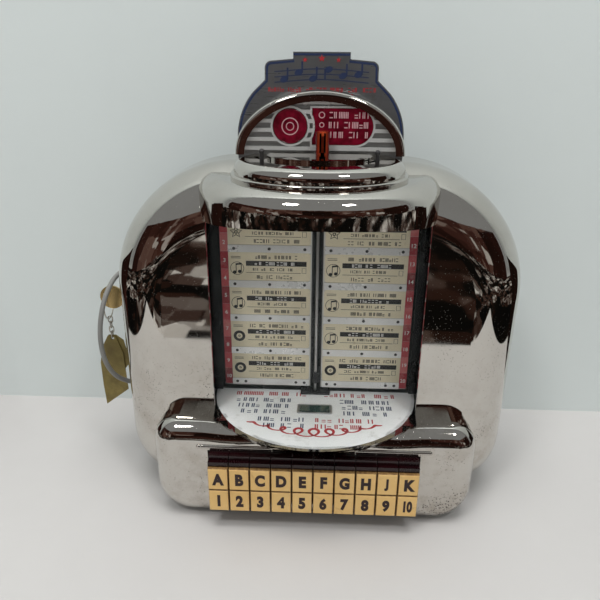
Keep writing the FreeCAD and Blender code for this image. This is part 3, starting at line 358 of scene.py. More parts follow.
# Brushed sheets: two tones, stain tone, how closely the lines run along each axis, roughness range, metallic
brushed = table("tones stain lines rough metallic", {
    "floor_plate": (((0.97, 0.98, 0.97), (0.76, 0.79, 0.78)), (0.45, 0.44, 0.4), (30.0, 700.0, 700.0),
                    (0.3, 0.44), 0.1),
    "sign": (((0.31, 0.315, 0.32), (0.17, 0.177, 0.183)), (0.16, 0.13, 0.12), (40.0, 600.0, 600.0),
             (0.24, 0.36), 0.7),
})
brushLayers = {"cloud": (18.0, 4.0, 0.6, 0.35, 0.7), "stains": (48.0, 5.0, 0.7, 0.58, 0.74)}
brushWear = {"lines": (1.0, 3.0, 0.6), "tint": (0.5, 0.5), "stain": 0.6, "range": (0.2, 0.8), "rough": 0.12,
             "relief": (0.02, 0.3)}


def brushedFinish(name, look, wear=brushWear):
    made = Finish(name)
    lines = made.noise(*wear["lines"], made.scaled(*look["lines"]))
    cloud, stains = made.patches(brushLayers)
    colour = made.mix(blend((lines, cloud), wear["tint"]), *look["tones"])
    colour = made.mix(stains * wear["stain"], colour, look["stain"])
    rough = made.stretch(lines, *wear["range"], *look["rough"]) + stains * wear["rough"]
    return made.finish(Base_Color=colour, Metallic=look["metallic"], Roughness=rough,
                       Normal=made.bump(lines, *wear["relief"]))


# Coloured lenses: deep and bright tone of the plastic, a slight glow that is painted light, the cloud's scale
# and a bright core that is painted light from inside
lenses = table("deep bright glow grain core", {
    "red_lens": ((0.07, 0.001, 0.006), (0.2, 0.004, 0.02), 0.05, 160.0, None),
    "green_lens": ((0.004, 0.02, 0.016), (0.01, 0.045, 0.035), 0.02, 200.0, None),
    "amber_lens": ((0.09, 0.003, 0.002), (0.5, 0.07, 0.018), 0.06, 120.0, {"x": 1.9, "half": 4.2}),
})
lensWear = {"cloud": (3.0, 0.5, 0.3, 0.7), "core": (0.3, 0.7), "scratches": (1.0, 4.0, 0.7, 0.55, 0.8),
            "lines": (700.0, 90.0, 240.0), "rough": (0.12, 0.25), "coat": 0.6, "coatRough": 0.08,
            "lift": 0.4, "relief": (0.05, 0.25)}


def lensFinish(name, look, wear=lensWear):
    made = Finish(name)
    cloud = made.patch(look["grain"], *wear["cloud"])
    # Painted light for the amber block: brightest along the slit, falling to its deep tone towards the edges
    if look["core"]:
        core = made.stretch(abs(made.x - look["core"]["x"] * mm), look["core"]["half"] * mm, 0.0)
        cloud = core * (cloud * wear["core"][0] + wear["core"][1])
    colour = made.mix(cloud, look["deep"], look["bright"])
    scratches = made.patch(*wear["scratches"], spot=made.scaled(*wear["lines"]))
    return made.finish(Base_Color=colour, Roughness=wear["rough"][0] + scratches * wear["rough"][1],
                       Emission_Color=colour, Emission_Strength=look["glow"], Coat_Weight=wear["coat"],
                       Coat_Roughness=wear["coatRough"],
                       Normal=made.bump(cloud + scratches * wear["lift"], *wear["relief"]))


glassLook = {"clear": (0.5, 0.56, 0.55), "dust": (0.75, 0.74, 0.7), "dustPatch": (130.0, 6.0, 0.7, 0.52, 0.8),
             "smear": (1.0, 3.0, 0.5, 0.45, 0.75), "lines": (14.0, 14.0, 60.0), "rough": (0.03, 0.06),
             "alpha": (0.015, 0.035, 0.015), "ior": 1.46, "specular": 0.5, "relief": (0.05, 0.2)}


def glassFinish(name, look):
    made = Finish(name)
    dust = made.patch(*look["dustPatch"])
    smear = made.patch(*look["smear"], spot=made.scaled(*look["lines"]))
    alpha, dusty, smeared = look["alpha"]
    return made.finish(Base_Color=made.mix(dust, look["clear"], look["dust"]),
                       Roughness=look["rough"][0] + smear * look["rough"][1],
                       Alpha=alpha + dust * dusty + smear * smeared, IOR=look["ior"],
                       Specular_IOR_Level=look["specular"],
                       Normal=made.bump(smear, *look["relief"]))


finishes = {}
for makeFinish, looks in ((metalFinish, metals), (brushedFinish, brushed), (lensFinish, lenses)):
    for name, look in looks.items():
        finishes[name] = makeFinish(name + "Finish", look)
for name, look in coatings.items():
    finishes[name] = coatedFinish(name + "Finish", look, edging.get(name))
finishes["glass"] = glassFinish("glassFinish", glassLook)
print("finishes made:", len(finishes))


def dress(piece, finish, body, stands=()):
    piece.data.materials.clear()
    piece.data.materials.append(finishes[finish])
    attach(piece, body)
    if stands:
        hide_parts(*stands)


cordPiece.data.materials.append(finishes["cord"])
finishes["dome"] = metalFinish("domeFinish", metals["chrome"], domeRecessShading)
# The page frame is painted near black: painted shade in the gaps beside the pages
variants = {"coin_dome": "dome", "page_frame": "jamb"}
for piece in nodes.values():
    slotName = piece.data.materials[0].name.split(".")[0]
    if slotName in finishes:
        piece.data.materials[0] = finishes[variants.get(piece.name, slotName)]


faceOut, faceBack, upZ = (0.0, -1.0, 0.0), (0.0, 1.0, 0.0), (0.0, 0.0, 1.0)


def objectFrom(name, data):
    made = bpy.data.objects.new(name, data)
    scene.collection.objects.link(made)
    return made


def meshOf(name, points, faces, smooth=False):
    mesh = bpy.data.meshes.new(name)
    mesh.from_pydata([tuple(point) for point in points], [], faces)
    mesh.validate()
    mesh.polygons.foreach_set("use_smooth", [smooth] * len(mesh.polygons))
    return mesh


def joined(name, meshes):
    whole = bmesh.new()
    for mesh in meshes:
        whole.from_mesh(mesh)
        bpy.data.meshes.remove(mesh)
    made = bpy.data.meshes.new(name)
    whole.to_mesh(made)
    whole.free()
    return objectFrom(name, made)


# Faces between rows of points that all have the same count; the rows can close into a loop
def sweptMesh(name, rows, closed, smooth=False):
    count = len(rows[0])
    faces = [(a + j, a + (j + 1) % count, b + (j + 1) % count, b + j)
             for a, b in ((k * count, (k + 1) % len(rows) * count) for k in range(len(rows) - (not closed)))
             for j in range(count)]
    if not closed:
        last = (len(rows) - 1) * count
        faces += [tuple(range(count - 1, -1, -1)), tuple(last + j for j in range(count))]
    mesh = meshOf(name, [Vector(point) * mm for row in rows for point in row], faces, smooth)
    whole = bmesh.new()
    whole.from_mesh(mesh)
    bmesh.ops.recalc_face_normals(whole, faces=whole.faces)
    whole.to_mesh(mesh)
    whole.free()
    return mesh


# An outline given across and up becomes a plate with its back at y, in millimetres
def plateMesh(outline, thick, y, bevel=0.0):
    whole = bmesh.new()
    face = whole.faces.new([whole.verts.new(inMetres(x, y, z)) for x, z in outline])
    face.normal_update()
    if face.normal.y > 0:
        face.normal_flip()
    raised = bmesh.ops.extrude_face_region(whole, geom=[face])
    moved = [item for item in raised["geom"] if isinstance(item, bmesh.types.BMVert)]
    bmesh.ops.translate(whole, verts=moved, vec=inMetres(0.0, -thick, 0.0))
    bmesh.ops.recalc_face_normals(whole, faces=whole.faces)
    if bevel:
        front = [edge for edge in whole.edges if all(vert in moved for vert in edge.verts)]
        bmesh.ops.bevel(whole, geom=front, offset=bevel * mm, segments=2, profile=0.5, affect="EDGES")
    mesh = bpy.data.meshes.new("plate")
    whole.to_mesh(mesh)
    whole.free()
    return mesh


# Corner radii go round from the one at x1, z0
def roundedOutline(x0, x1, z0, z1, corners=(0.0,) * 4, steps=5):
    points = []
    turns = ((x1, z0, -90.0), (x1, z1, 0.0), (x0, z1, 90.0), (x0, z0, 180.0))
    for (x, z, start), radius in zip(turns, corners):
        inX = x - math.copysign(radius, x - (x0 + x1) / 2)
        inZ = z - math.copysign(radius, z - (z0 + z1) / 2)
        if radius <= 0:
            points.append((x, z))
            continue
        for k in range(steps + 1):
            angle = math.radians(start + 90.0 * k / steps)
            points.append((inX + radius * math.cos(angle), inZ + radius * math.sin(angle)))
    return points


def circle(radius, steps, x=0.0, z=0.0, squash=1.0):
    turns = [2 * math.pi * k / steps for k in range(steps)]
    return [(x + radius * math.cos(turn), z + squash * radius * math.sin(turn)) for turn in turns]


def star(size, waist, count, x=0.0, z=0.0):
    reach = [size * (1.0 if k % 2 == 0 else waist) for k in range(count)]
    return [(x + far * math.sin(math.pi * k / 5), z + far * math.cos(math.pi * k / 5))
            for k, far in enumerate(reach)]


lettering = {"curveSteps": 4, "depth": 0.02}


def textMesh(words, height, place, thick, bold, stretch=1.0):
    data = bpy.data.curves.new("lettering", "FONT")
    data.body = words
    data.align_x = "CENTER"
    data.align_y = "CENTER"
    data.offset = bold
    data.resolution_u = lettering["curveSteps"]
    data.extrude = lettering["depth"]
    text = objectFrom("lettering", data)
    bpy.context.view_layer.update()
    mesh = bpy.data.meshes.new_from_object(text.evaluated_get(bpy.context.evaluated_depsgraph_get()))
    bpy.data.objects.remove(text)
    bpy.data.curves.remove(data)
    heights = [vert.co.y for vert in mesh.vertices]
    middle = (max(heights) + min(heights)) / 2
    grow = height * mm / (max(heights) - min(heights))
    for vert in mesh.vertices:
        x, y, depth = vert.co
        rise = (depth / lettering["depth"] + 1.0) / 2 * thick * mm
        vert.co = inMetres(*place) + Vector((x * grow * stretch, -rise, (y - middle) * grow))
    return mesh


# A bent strip of flat section along a list of points; its width may be one value or one for each point
def strokeMesh(points, width, thick, closed=False, lift=faceOut):
    points, lift = [Vector(point) for point in points], Vector(lift)
    count = len(points)
    rows = []
    for k, point in enumerate(points):
        before = points[(k - 1) % count] if closed or k else point
        after = points[(k + 1) % count] if closed or k < count - 1 else point
        half = (width[k] if isinstance(width, list) else width) / 2
        side = (after - before).normalized().cross(lift).normalized() * half
        rows.append((point - side, point + side, point + side + lift * thick, point - side + lift * thick))
    return sweptMesh("stroke", rows, closed)


# Geometry node trees: an interface of named sizes, then one modifier applied to a mesh of points
class Growth(Network):
    def __init__(self, name, sizes):
        tree = bpy.data.node_groups.new(name, "GeometryNodeTree")
        super().__init__(tree)
        tree.interface.new_socket("Geometry", in_out="INPUT", socket_type="NodeSocketGeometry")
        self.keys = {}
        for label, kind in {"Material": "Material", **sizes}.items():
            made = tree.interface.new_socket(label, in_out="INPUT", socket_type="NodeSocket" + kind)
            self.keys[label] = made.identifier
        tree.interface.new_socket("Geometry", in_out="OUTPUT", socket_type="NodeSocketGeometry")
        entry = tree.nodes.new("NodeGroupInput")
        self.start = Value(self, entry.outputs[0])
        self.size = {label: Value(self, entry.outputs[label]) for label in self.keys}
        self.exit = tree.nodes.new("NodeGroupOutput")

    def facing(self, **settings):
        facing = self.value("GeometryNodeInputNamedAttribute", {"data_type": "FLOAT_VECTOR"},
                            {"Name": "facing"}, "Attribute")
        return self.value("FunctionNodeAlignRotationToVector", {"axis": "Z", **settings}, {"Vector": facing})

    def move(self, geometry, **place):
        return self.value("GeometryNodeTransform", {}, {"Geometry": geometry,
                                                        "Translation": self.vector(**place)})

    def close(self, inputs):
        grown = self.value("GeometryNodeInstanceOnPoints", {}, {"Points": self.start, **inputs})
        real = self.value("GeometryNodeRealizeInstances", {}, {0: grown})
        painted = self.value("GeometryNodeSetMaterial", {}, {"Geometry": real,
                             "Material": self.size["Material"]})
        self.tree.links.new(painted.socket, self.exit.inputs[0])
        return self

    def grow(self, name, points, facings, finish, body, given):
        mesh = bpy.data.meshes.new(name)
        mesh.from_pydata([tuple(Vector(point) * mm) for point in points], [], [])
        layer = mesh.attributes.new("facing", "FLOAT_VECTOR", "POINT")
        layer.data.foreach_set("vector", [part for facing in facings for part in facing])
        made = objectFrom(name, mesh)
        modifier = made.modifiers.new("growth", "NODES")
        modifier.node_group = self.tree
        for label, setting in {"Material": finishes[finish], **given}.items():
            modifier[self.keys[label]] = setting
        bpy.context.view_layer.update()
        done = bpy.data.meshes.new_from_object(made.evaluated_get(bpy.context.evaluated_depsgraph_get()))
        made.modifiers.remove(modifier)
        made.data = done
        bpy.data.meshes.remove(mesh)
        done.name = name
        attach(made, body)


headShape = {"segments": 12, "rings": 6}


def growHeads(look):
    tree = Growth("rivetHeads", {"Radius": "Float", "Height": "Float"})
    ball = tree.value("GeometryNodeMeshUVSphere", {}, {"Segments": look["segments"], "Rings": look["rings"],
                                                       "Radius": 1.0}, "Mesh")
    smooth = tree.value("GeometryNodeSetShadeSmooth", {}, {"Geometry": ball})
    radius, height = tree.size["Radius"], tree.size["Height"]
    return tree.close({"Instance": smooth, "Rotation": tree.facing(),
                       "Scale": tree.vector(X=radius, Y=radius, Z=height)})


# A slotted screw: a low cylinder with two half discs standing on it
screwShape = {"sides": 24, "arcSteps": 12, "base": 1.1, "inner": 0.94, "rise": 0.45, "foot": 0.55, "seed": 7}


def growScrews(look):
    tree = Growth("slottedScrews", {"Radius": "Float", "Height": "Float", "Slot Angle": "Float"})
    radius, height, slot = [tree.size[key] for key in ("Radius", "Height", "Slot Angle")]
    head = tree.value("GeometryNodeMeshCylinder", {}, {"Vertices": look["sides"], "Radius": radius,
                      "Depth": height * look["base"]}, "Mesh")
    halves = []
    for start in (0.0, math.pi):
        curve = tree.value("GeometryNodeCurveArc", {}, {"Resolution": look["arcSteps"],
                           "Radius": radius * look["inner"], "Start Angle": slot + start,
                           "Sweep Angle": math.pi - 2 * slot}, "Curve")
        loop = tree.value("GeometryNodeSetSplineCyclic", {}, {"Geometry": curve, "Cyclic": True})
        flat = tree.value("GeometryNodeFillCurve", {"mode": "NGONS"}, {"Curve": loop})
        thick = tree.value("GeometryNodeExtrudeMesh", {}, {"Mesh": flat, "Individual": False,
                           "Offset Scale": height * look["rise"]})
        shut = tree.value("GeometryNodeFlipFaces", {}, {"Mesh": flat})
        halves += [thick, shut]
    raised = tree.value("GeometryNodeJoinGeometry", {}, {"Geometry": halves})
    lifted = tree.move(raised, Z=height * look["foot"])
    whole = tree.value("GeometryNodeJoinGeometry", {}, {"Geometry": [head, lifted]})
    spin = tree.value("FunctionNodeRandomValue", {"data_type": "FLOAT"}, {"Min_001": 0.0,
                      "Max_001": math.pi, "Seed": look["seed"]}, "Value_001")
    local = tree.value("FunctionNodeAxisAngleToRotation", {}, {"Axis": upZ, "Angle": spin})
    both = tree.value("FunctionNodeRotateRotation", {"rotation_space": "LOCAL"}, {"Rotation": tree.facing(),
                      "Rotate By": local})
    return tree.close({"Instance": whole, "Rotation": both})


# Small printed ticks and dashes: from a distance a row of them reads as a line of type
markShapes = (("left", "right"), ("middle", "right"), ("top", "base"), ("left", "middle", "right"),
              ("waist", "base"), ("left", "middle"))


def growMarks(shapes):
    tree = Growth("printedMarks", {"Tall": "Float", "Wide": "Float", "Stroke": "Float", "Thick": "Float",
                                   "Seed": "Int"})
    tall, wide, stroke, thick = [tree.size[key] for key in ("Tall", "Wide", "Stroke", "Thick")]

    def bar(x, z, across, along):
        size = tree.vector(X=across, Y=along, Z=thick)
        return tree.move(tree.value("GeometryNodeMeshCube", {}, {"Size": size}, "Mesh"), X=x, Y=z)

    upper = (tall - stroke) * 0.5
    bars = {"left": bar(wide * -0.5, 0.0, stroke, tall), "right": bar(wide * 0.5, 0.0, stroke, tall),
            "middle": bar(0.0, 0.0, stroke, tall), "top": bar(0.0, upper, wide, stroke),
            "base": bar(0.0, upper * -1.0, wide, stroke), "waist": bar(0.0, 0.0, wide, stroke)}
    glyphs = [tree.value("GeometryNodeJoinGeometry", {}, {"Geometry": [bars[key] for key in keys]})
              for keys in shapes]
    several = tree.value("GeometryNodeGeometryToInstance", {}, {"Geometry": glyphs})
    pick = tree.value("FunctionNodeRandomValue", {"data_type": "INT"}, {"Min_002": 0,
                      "Max_002": len(shapes) - 1, "Seed": tree.size["Seed"]}, "Value_002")
    return tree.close({"Instance": several, "Pick Instance": True, "Instance Index": pick,
                       "Rotation": tree.facing(pivot_axis="X")})


headTree, screwTree, markTree = growHeads(headShape), growScrews(screwShape), growMarks(markShapes)
print("growth trees built")

# Marks are spaced by a share of their width, and a word is 2 to 6 marks long
markLook = {"step": 1.5, "first": (3, 6), "later": (3, 7), "thick": 0.05}


def markLine(x0, x1, y, z, wide, rule):
    points = []
    step = wide * markLook["step"]
    count = int((x1 - x0) / step)
    left = rule.randint(*markLook["first"])
    spare = ((x1 - x0) - count * step) / 2 + step / 2
    for k in range(count):
        left -= 1
        if left == 0:
            left = rule.randint(*markLook["later"])
            continue
        points.append((x0 + spare + k * step, y, z))
    return points


# One style of print: height, width and stroke of a mark
def printMarks(name, points, style, finish, body, seed, facing=faceOut):
    tall, wide, stroke = style
    markTree.grow(name, points, [facing] * len(points), finish, body,
                  {"Tall": tall * mm, "Wide": wide * mm, "Stroke": stroke * mm,
                   "Thick": markLook["thick"] * mm, "Seed": seed})


inkColours = {"inkBlack": (0.012, 0.01, 0.01), "inkBlue": (0.012, 0.03, 0.1), "inkRed": (0.45, 0.012, 0.018),
              "inkWhite": (0.82, 0.8, 0.76), "inkMaroon": (0.02, 0.002, 0.003), "inkPink": (0.62, 0.36, 0.38)}
inkWear = {"patch": (700.0, 3.0, 0.6, 0.35, 0.7), "fade": 0.8, "lift": 0.015, "rough": (0.45, 0.2),
           "relief": (0.01, 0.2)}
paperLook = {"cloud": (36.0, 4.0, 0.6, 0.3, 0.7), "tones": ((0.78, 0.7, 0.5), (0.64, 0.56, 0.38)),
             "fibre": (1.0, 3.0, 0.7), "lines": (900.0, 900.0, 2600.0), "fibreTone": (0.82, 0.76, 0.6),
             "fibreShare": 0.3, "foxing": (150.0, 5.0, 0.7, 0.62, 0.76), "foxTone": (0.38, 0.27, 0.13),
             "foxShare": 0.5, "rough": (0.55, 0.2), "relief": (0.02, 0.3)}
columnLook = {"foot": 89.5, "step": 14.5, "worn": (120.0, 4.0, 0.7, 0.5, 0.75), "turn": (0.618, 0.31),
              "tones": ((0.0, (0.26, 0.012, 0.022)), (0.35, (0.42, 0.025, 0.04)), (0.7, (0.55, 0.07, 0.08)),
                        (1.0, (0.62, 0.17, 0.17))),
              "wornTone": (0.62, 0.4, 0.36), "wornShare": 0.35, "rough": (0.4, 0.25),
              "relief": (0.02, 0.2)}


def matFinish(made, look, colour, wear, relief):
    return made.finish(Base_Color=colour, Roughness=look["rough"][0] + wear * look["rough"][1],
                       Normal=made.bump(relief, *look["relief"]))


def inkFinish(name, tone, look=inkWear):
    made = Finish(name)
    patch = made.patch(*look["patch"])
    faded = [look["fade"] * part + look["lift"] for part in tone]
    return matFinish(made, look, made.mix(patch, tone, faded), patch, patch)


def paperFinish(name, look):
    made = Finish(name)
    cloud, foxing = made.patch(*look["cloud"]), made.patch(*look["foxing"])
    fibres = made.noise(*look["fibre"], made.scaled(*look["lines"]))
    colour = made.mix(cloud, *look["tones"])
    colour = made.mix(fibres * look["fibreShare"], colour, look["fibreTone"])
    return matFinish(made, look, made.mix(foxing * look["foxShare"], colour, look["foxTone"]), cloud, fibres)


# Each row of the number column has its own shade of red
def columnFinish(name, look):
    made = Finish(name)
    row = ((made.z - look["foot"] * mm) / (look["step"] * mm)).whole()
    shade = (row * look["turn"][0] + (made.x > 0.0) * look["turn"][1]).part()
    worn = made.patch(*look["worn"])
    colour = made.mix(worn * look["wornShare"], made.ramp(shade, look["tones"]), look["wornTone"])
    return matFinish(made, look, colour, worn, worn)


for name, tone in inkColours.items():
    finishes[name] = inkFinish(name, tone)
finishes["paper"] = paperFinish("paperFinish", paperLook)
finishes["column"] = columnFinish("columnFinish", columnLook)

# Title pages: five rows of cards held by rails, with a red number column at the outer edge
titlePages = {"footZ": 92.0, "pitch": 29.0, "rows": 5, "cardInner": 5.5, "cardOuter": 68.9, "cardTall": 22.8,
              "cardRound": 2.2, "cardThick": 0.3, "railTall": 5.8, "railThick": 0.08, "railOut": 0.5,
              "railOver": 0.2, "railRound": 0.5, "railBevel": 0.04, "rivet": 1.25, "rivetHigh": 0.1,
              "endRivets": (0.06, 0.17, 0.83, 0.94), "rivets": (0.07, 0.5, 0.93), "edge": 75.0,
              "sheetLow": 89.0, "sheetHigh": 240.0, "labelStart": 0.5, "labelGap": 0.2, "labelTop": 0.4,
              "labelThick": 0.25, "columnGap": 0.1, "number": 3.2, "numberThick": 0.04, "numberBold": 0.01}
pageSides = (("Left", -1, 9.4, "cover", 41), ("Right", 1, 8.0, "leaf_1", 57))


def makePage(page, label, side, faceY, body, seed):
    rowFoots = [page["footZ"] + k * page["pitch"] for k in range(page["rows"] + 1)]
    inner, outer = page["cardInner"], page["cardOuter"]
    x0, x1 = sorted((side * inner, side * outer))
    margin = (page["pitch"] - page["cardTall"]) / 2
    radius = page["cardRound"]
    corners = [0.0, 0.0, radius, radius] if side > 0 else [radius, radius, 0.0, 0.0]
    cards = [plateMesh(roundedOutline(x0, x1, foot + margin, foot + margin + page["cardTall"], corners),
                       page["cardThick"], faceY) for foot in rowFoots[:-1]]
    stands = "title_strips_left" if side < 0 else "title_strips_right"
    dress(joined("titleCards" + label, cards), "paper", body, [stands])
    railFront, half, over = faceY - page["railOut"], page["railTall"] / 2, page["railOver"]
    rails = [plateMesh(roundedOutline(x0 - over, x1 + over, z - half, z + half, [page["railRound"]] * 4, 2),
                       page["railThick"], railFront, page["railBevel"]) for z in rowFoots]
    dress(joined("titleRails" + label, rails), "rail", body)
    places = [(side * (inner + (outer - inner) * share), railFront - page["railThick"], z) for z in rowFoots
              for share in page["endRivets" if z in (rowFoots[0], rowFoots[-1]) else "rivets"]]
    headTree.grow("railRivets" + label, places, [faceOut] * len(places), "lever", body,
                  {"Radius": page["rivet"] * mm, "Height": page["rivetHigh"] * mm})
    columnIn, columnOut = sorted((side * (outer + page["columnGap"]), side * page["edge"]))
    step, last = page["pitch"] / 2, 2 * page["rows"] - 1
    labels, numbers = [], []
    for k in range(last + 1):
        foot = page["sheetLow"] + page["labelStart"] + k * step
        z0 = foot + (page["labelGap"] if k else 0.0)
        z1 = foot + step if k < last else page["sheetHigh"] - page["labelTop"]
        labels.append(plateMesh(roundedOutline(columnIn, columnOut, z0, z1), page["labelThick"], faceY))
        row = last + 1 - k + (0 if side < 0 else last + 1)
        middle = ((columnIn + columnOut) / 2, faceY - page["labelThick"], (z0 + z1) / 2)
        numbers.append(textMesh(str(row), page["number"], middle, page["numberThick"], page["numberBold"]))
    dress(joined("numberColumn" + label, labels), "column", body)
    dress(joined("rowNumbers" + label, numbers), "inkWhite", body)
    printPage(cardPrint, label, x0, x1, faceY - page["cardThick"], body,
              [foot + margin for foot in rowFoots[:-1]], random.Random(seed))


# A small emblem in ink: a record, a note or a star
emblems = {"record": ((3.6, 2.3), (0.7, 0.5)), "heads": ((-2.0, -3.2), (2.0, -2.6)), "head": (0.75, 1.5, 0.8),
           "stems": (((-0.8, -3.2), (-0.8, 3.4), 0.6), ((3.2, -2.6), (3.2, 4.0), 0.6),
                     ((-1.1, 3.2), (3.5, 3.9), 1.4)), "noteRing": (5.2, 0.4),
           "star": (4.6, 0.45, 11), "starWide": 0.8, "starRing": (1.0, 0.8), "steps": 28, "thick": 0.05}


def drawEmblem(look, middle, kind):
    def line(points, width, closed=False):
        places = [Vector(middle) + Vector((x, 0.0, z)) for x, z in points]
        return strokeMesh(places, width, look["thick"], closed)

    def ring(radius, width, *spot):
        return line(circle(radius, look["steps"], *spot), width, True)

    if kind == "record":
        return [ring(*one) for one in look["record"]]
    if kind == "note":
        radius, width, squash = look["head"]
        heads = [ring(radius, width, x, z, squash) for x, z in look["heads"]]
        stems = [line((start, end), wide) for start, end, wide in look["stems"]]
        return heads + stems + [ring(*look["noteRing"])]
    return [line(star(*look["star"]), look["starWide"]), ring(*look["starRing"])]


# Each card carries two titles, a dark band, a rule, an emblem and a little box.
# A line of marks: its height on the card, the least and most inset, and how much less it reaches right
cardPrint = {"left": 13.5, "right": 3.0, "title": (2.9, 1.7, 0.6), "name": (2.3, 1.4, 0.5),
             "light": (2.7, 1.9, 0.6), "upper": (19.2, 0.0, 6.0), "lower": (3.0, 2.0, 9.0),
             "names": (9.2, 4.0, 9.0, 5.0), "lights": (14.0, 5.0, 8.0, 0.12),
             "band": (12.0, 16.0, 0.0, 0.08), "ruleLine": (6.3, 6.65, 4.5, 0.05),
             "dashes": (18.0, 19.2), "dash": (2.0, 9.5, 0.4, 0.05), "emblem": (6.6, 9.8),
             "box": ((3.4, 6.6), (0.4, 6.6), (0.4, 10.6), (3.4, 10.6)), "boxWide": 0.35, "boxThick": 0.05}


def printPage(look, label, x0, x1, y, body, cardFoots, rule):
    titles, names, lights, bands, drawings = [], [], [], [], []
    left, right = x0 + look["left"], x1 - look["right"]

    def band(start, end, low, high, thick):
        bands.append(plateMesh(roundedOutline(start, end, low, high), thick, y))

    for z in cardFoots:
        for key in ("upper", "lower"):
            high, *insets = look[key]
            inset = rule.uniform(*insets)
            titles += markLine(left + inset, right - inset, y, z + high, look["title"][1], rule)
        high, least, most, less = look["names"]
        inset = rule.uniform(least, most)
        names += markLine(left + inset, right - inset - less, y, z + high, look["name"][1], rule)
        high, start, less, lift = look["lights"]
        lights += markLine(left + start, right - less, y - lift, z + high, look["light"][1], rule)
        for low, high, less, thick in (look["band"], look["ruleLine"]):
            band(left, right - less, z + low, z + high, thick)
        start, end, tall, thick = look["dash"]
        for low in look["dashes"]:
            band(x0 + start, x0 + end, z + low, z + low + tall, thick)
        across, up = look["emblem"]
        drawings += drawEmblem(emblems, (x0 + across, y, z + up), rule.choice(("record", "note", "star")))
        box = [(right - dx, y, z + dz) for dx, dz in look["box"]]
        drawings.append(strokeMesh(box, look["boxWide"], look["boxThick"], closed=True))
    printMarks("cardTitles" + label, titles, look["title"], "inkBlack", body, seed=3)
    printMarks("cardNames" + label, names, look["name"], "inkBlack", body, seed=5)
    printMarks("bandMarks" + label, lights, look["light"], "inkWhite", body, seed=9)
    dress(joined("cardBands" + label, bands), "inkBlack", body)
    dress(joined("cardEmblems" + label, drawings), "inkBlack", body)


for pageSide in pageSides:
    makePage(titlePages, *pageSide)
print("title pages printed and riveted")


# Legends on the twenty keys
keyLegends = {"letters": "ABCDEFGHJK", "pitch": 16.0, "middle": 4.5, "faceY": -62.0, "letterZ": 46.9,
              "numberZ": 27.0, "tall": 10.8, "slim": 0.8, "pair": 0.58, "bold": 0.06, "thick": 0.1}


def letterKeys(keys):
    for k, letter in enumerate(keys["letters"]):
        x = (k - keys["middle"]) * keys["pitch"]
        for words, z, body in ((letter, keys["letterZ"], "letter_" + letter.lower()),
                               (str(k + 1), keys["numberZ"], f"number_{k + 1}")):
            mesh = textMesh(words, keys["tall"], (x, keys["faceY"], z), keys["thick"], keys["bold"],
                            keys["pair" if len(words) > 1 else "slim"])
            dress(joined("legend_" + body, [mesh]), "inkMaroon", body)


letterKeys(keyLegends)
print("key legends set")

# Printing on the window floor: lines of marks and one long flourish.
# Each line says its colour, its ends and its place from front to back.
floorPrint = {"z": 84.0, "style": (5.6, 3.0, 1.0),
              "lines": (("red", -66.0, -6.0, 3.2), ("red", 6.0, 66.0, 3.2),
                        ("blue", -66.0, -18.0, -6.5), ("blue", 18.0, 66.0, -6.5),
                        ("blue", -62.5, -20.0, -15.0), ("blue", 20.0, 62.5, -15.0),
                        ("blue", -59.0, -22.0, -23.5), ("blue", 22.0, 59.0, -23.5),
                        ("blue", -46.0, -6.0, -34.0), ("red", 0.0, 46.0, -34.0),
                        ("blue", -41.0, -6.0, -42.5), ("red", 0.0, 41.0, -42.5)), "seed": 17}
flourish = {"steps": 260, "loops": 9, "half": 52.0, "y": -38.0, "bow": 13.0, "least": 1.6, "tall": 8.5,
            "lean": (0.62, 0.5), "wide": 2.4, "swell": (0.45, 0.55), "thick": 0.06}


def printFloor(look, curl):
    rule, z = random.Random(look["seed"]), look["z"]
    marks = {"red": [], "blue": []}
    for colour, x0, x1, y in look["lines"]:
        marks[colour] += markLine(x0, x1, y, z, look["style"][1], rule)
    printMarks("floorMarksRed", marks["red"], look["style"], "inkRed", "cover", seed=21, facing=upZ)
    printMarks("floorMarksBlue", marks["blue"], look["style"], "inkBlue", "cover", seed=23, facing=upZ)
    swing, widths = [], []
    for k in range(curl["steps"] + 1):
        share = k / curl["steps"]
        turn = 2 * math.pi * curl["loops"] * share
        middle = math.sin(math.pi * share)
        size = curl["least"] + curl["tall"] * middle ** 2
        swing.append(((2 * share - 1) * curl["half"] + curl["lean"][0] * size * math.sin(turn),
                      curl["y"] - curl["bow"] * middle - curl["lean"][1] * size * math.cos(turn), z))
        widths.append(curl["wide"] * (curl["swell"][0] + curl["swell"][1] * abs(math.sin(turn / 2))))
    dress(joined("floorFlourish", [strokeMesh(swing, widths, curl["thick"], lift=upZ)]), "inkRed", "cover")


printFloor(floorPrint, flourish)

# Frame round the green indicator: loops of it stand higher from the outside in, then fall again
indicatorFrame = {"halfX": 12.3, "halfY": 4.9, "centreY": -19.0, "wide": 1.7, "tall": 1.1, "round": 1.0,
                  "outerRound": 1.6, "fall": 0.4, "floorZ": 84.0}


def frameIndicator(look):
    def loop(wide, radius):
        halfX, halfY, y = look["halfX"] + wide, look["halfY"] + wide, look["centreY"]
        return roundedOutline(-halfX, halfX, y - halfY, y + halfY, [radius] * 4)

    outer, inner = loop(look["wide"], look["outerRound"]), loop(0.0, look["round"])
    crest = [((ox + ix) / 2, (oy + iy) / 2) for (ox, oy), (ix, iy) in zip(outer, inner)]
    z0, z1 = look["floorZ"], look["floorZ"] + look["tall"]
    rows = [[(x, y, z) for x, y in points]
            for points, z in ((outer, z0), (outer, z1 - look["fall"]), (crest, z1),
                              (inner, z1 - look["fall"]), (inner, z0))]
    dress(objectFrom("indicatorFrame", sweptMesh("indicatorFrame", rows, True)), "zinc", "cover")


frameIndicator(indicatorFrame)
print("window floor printed")

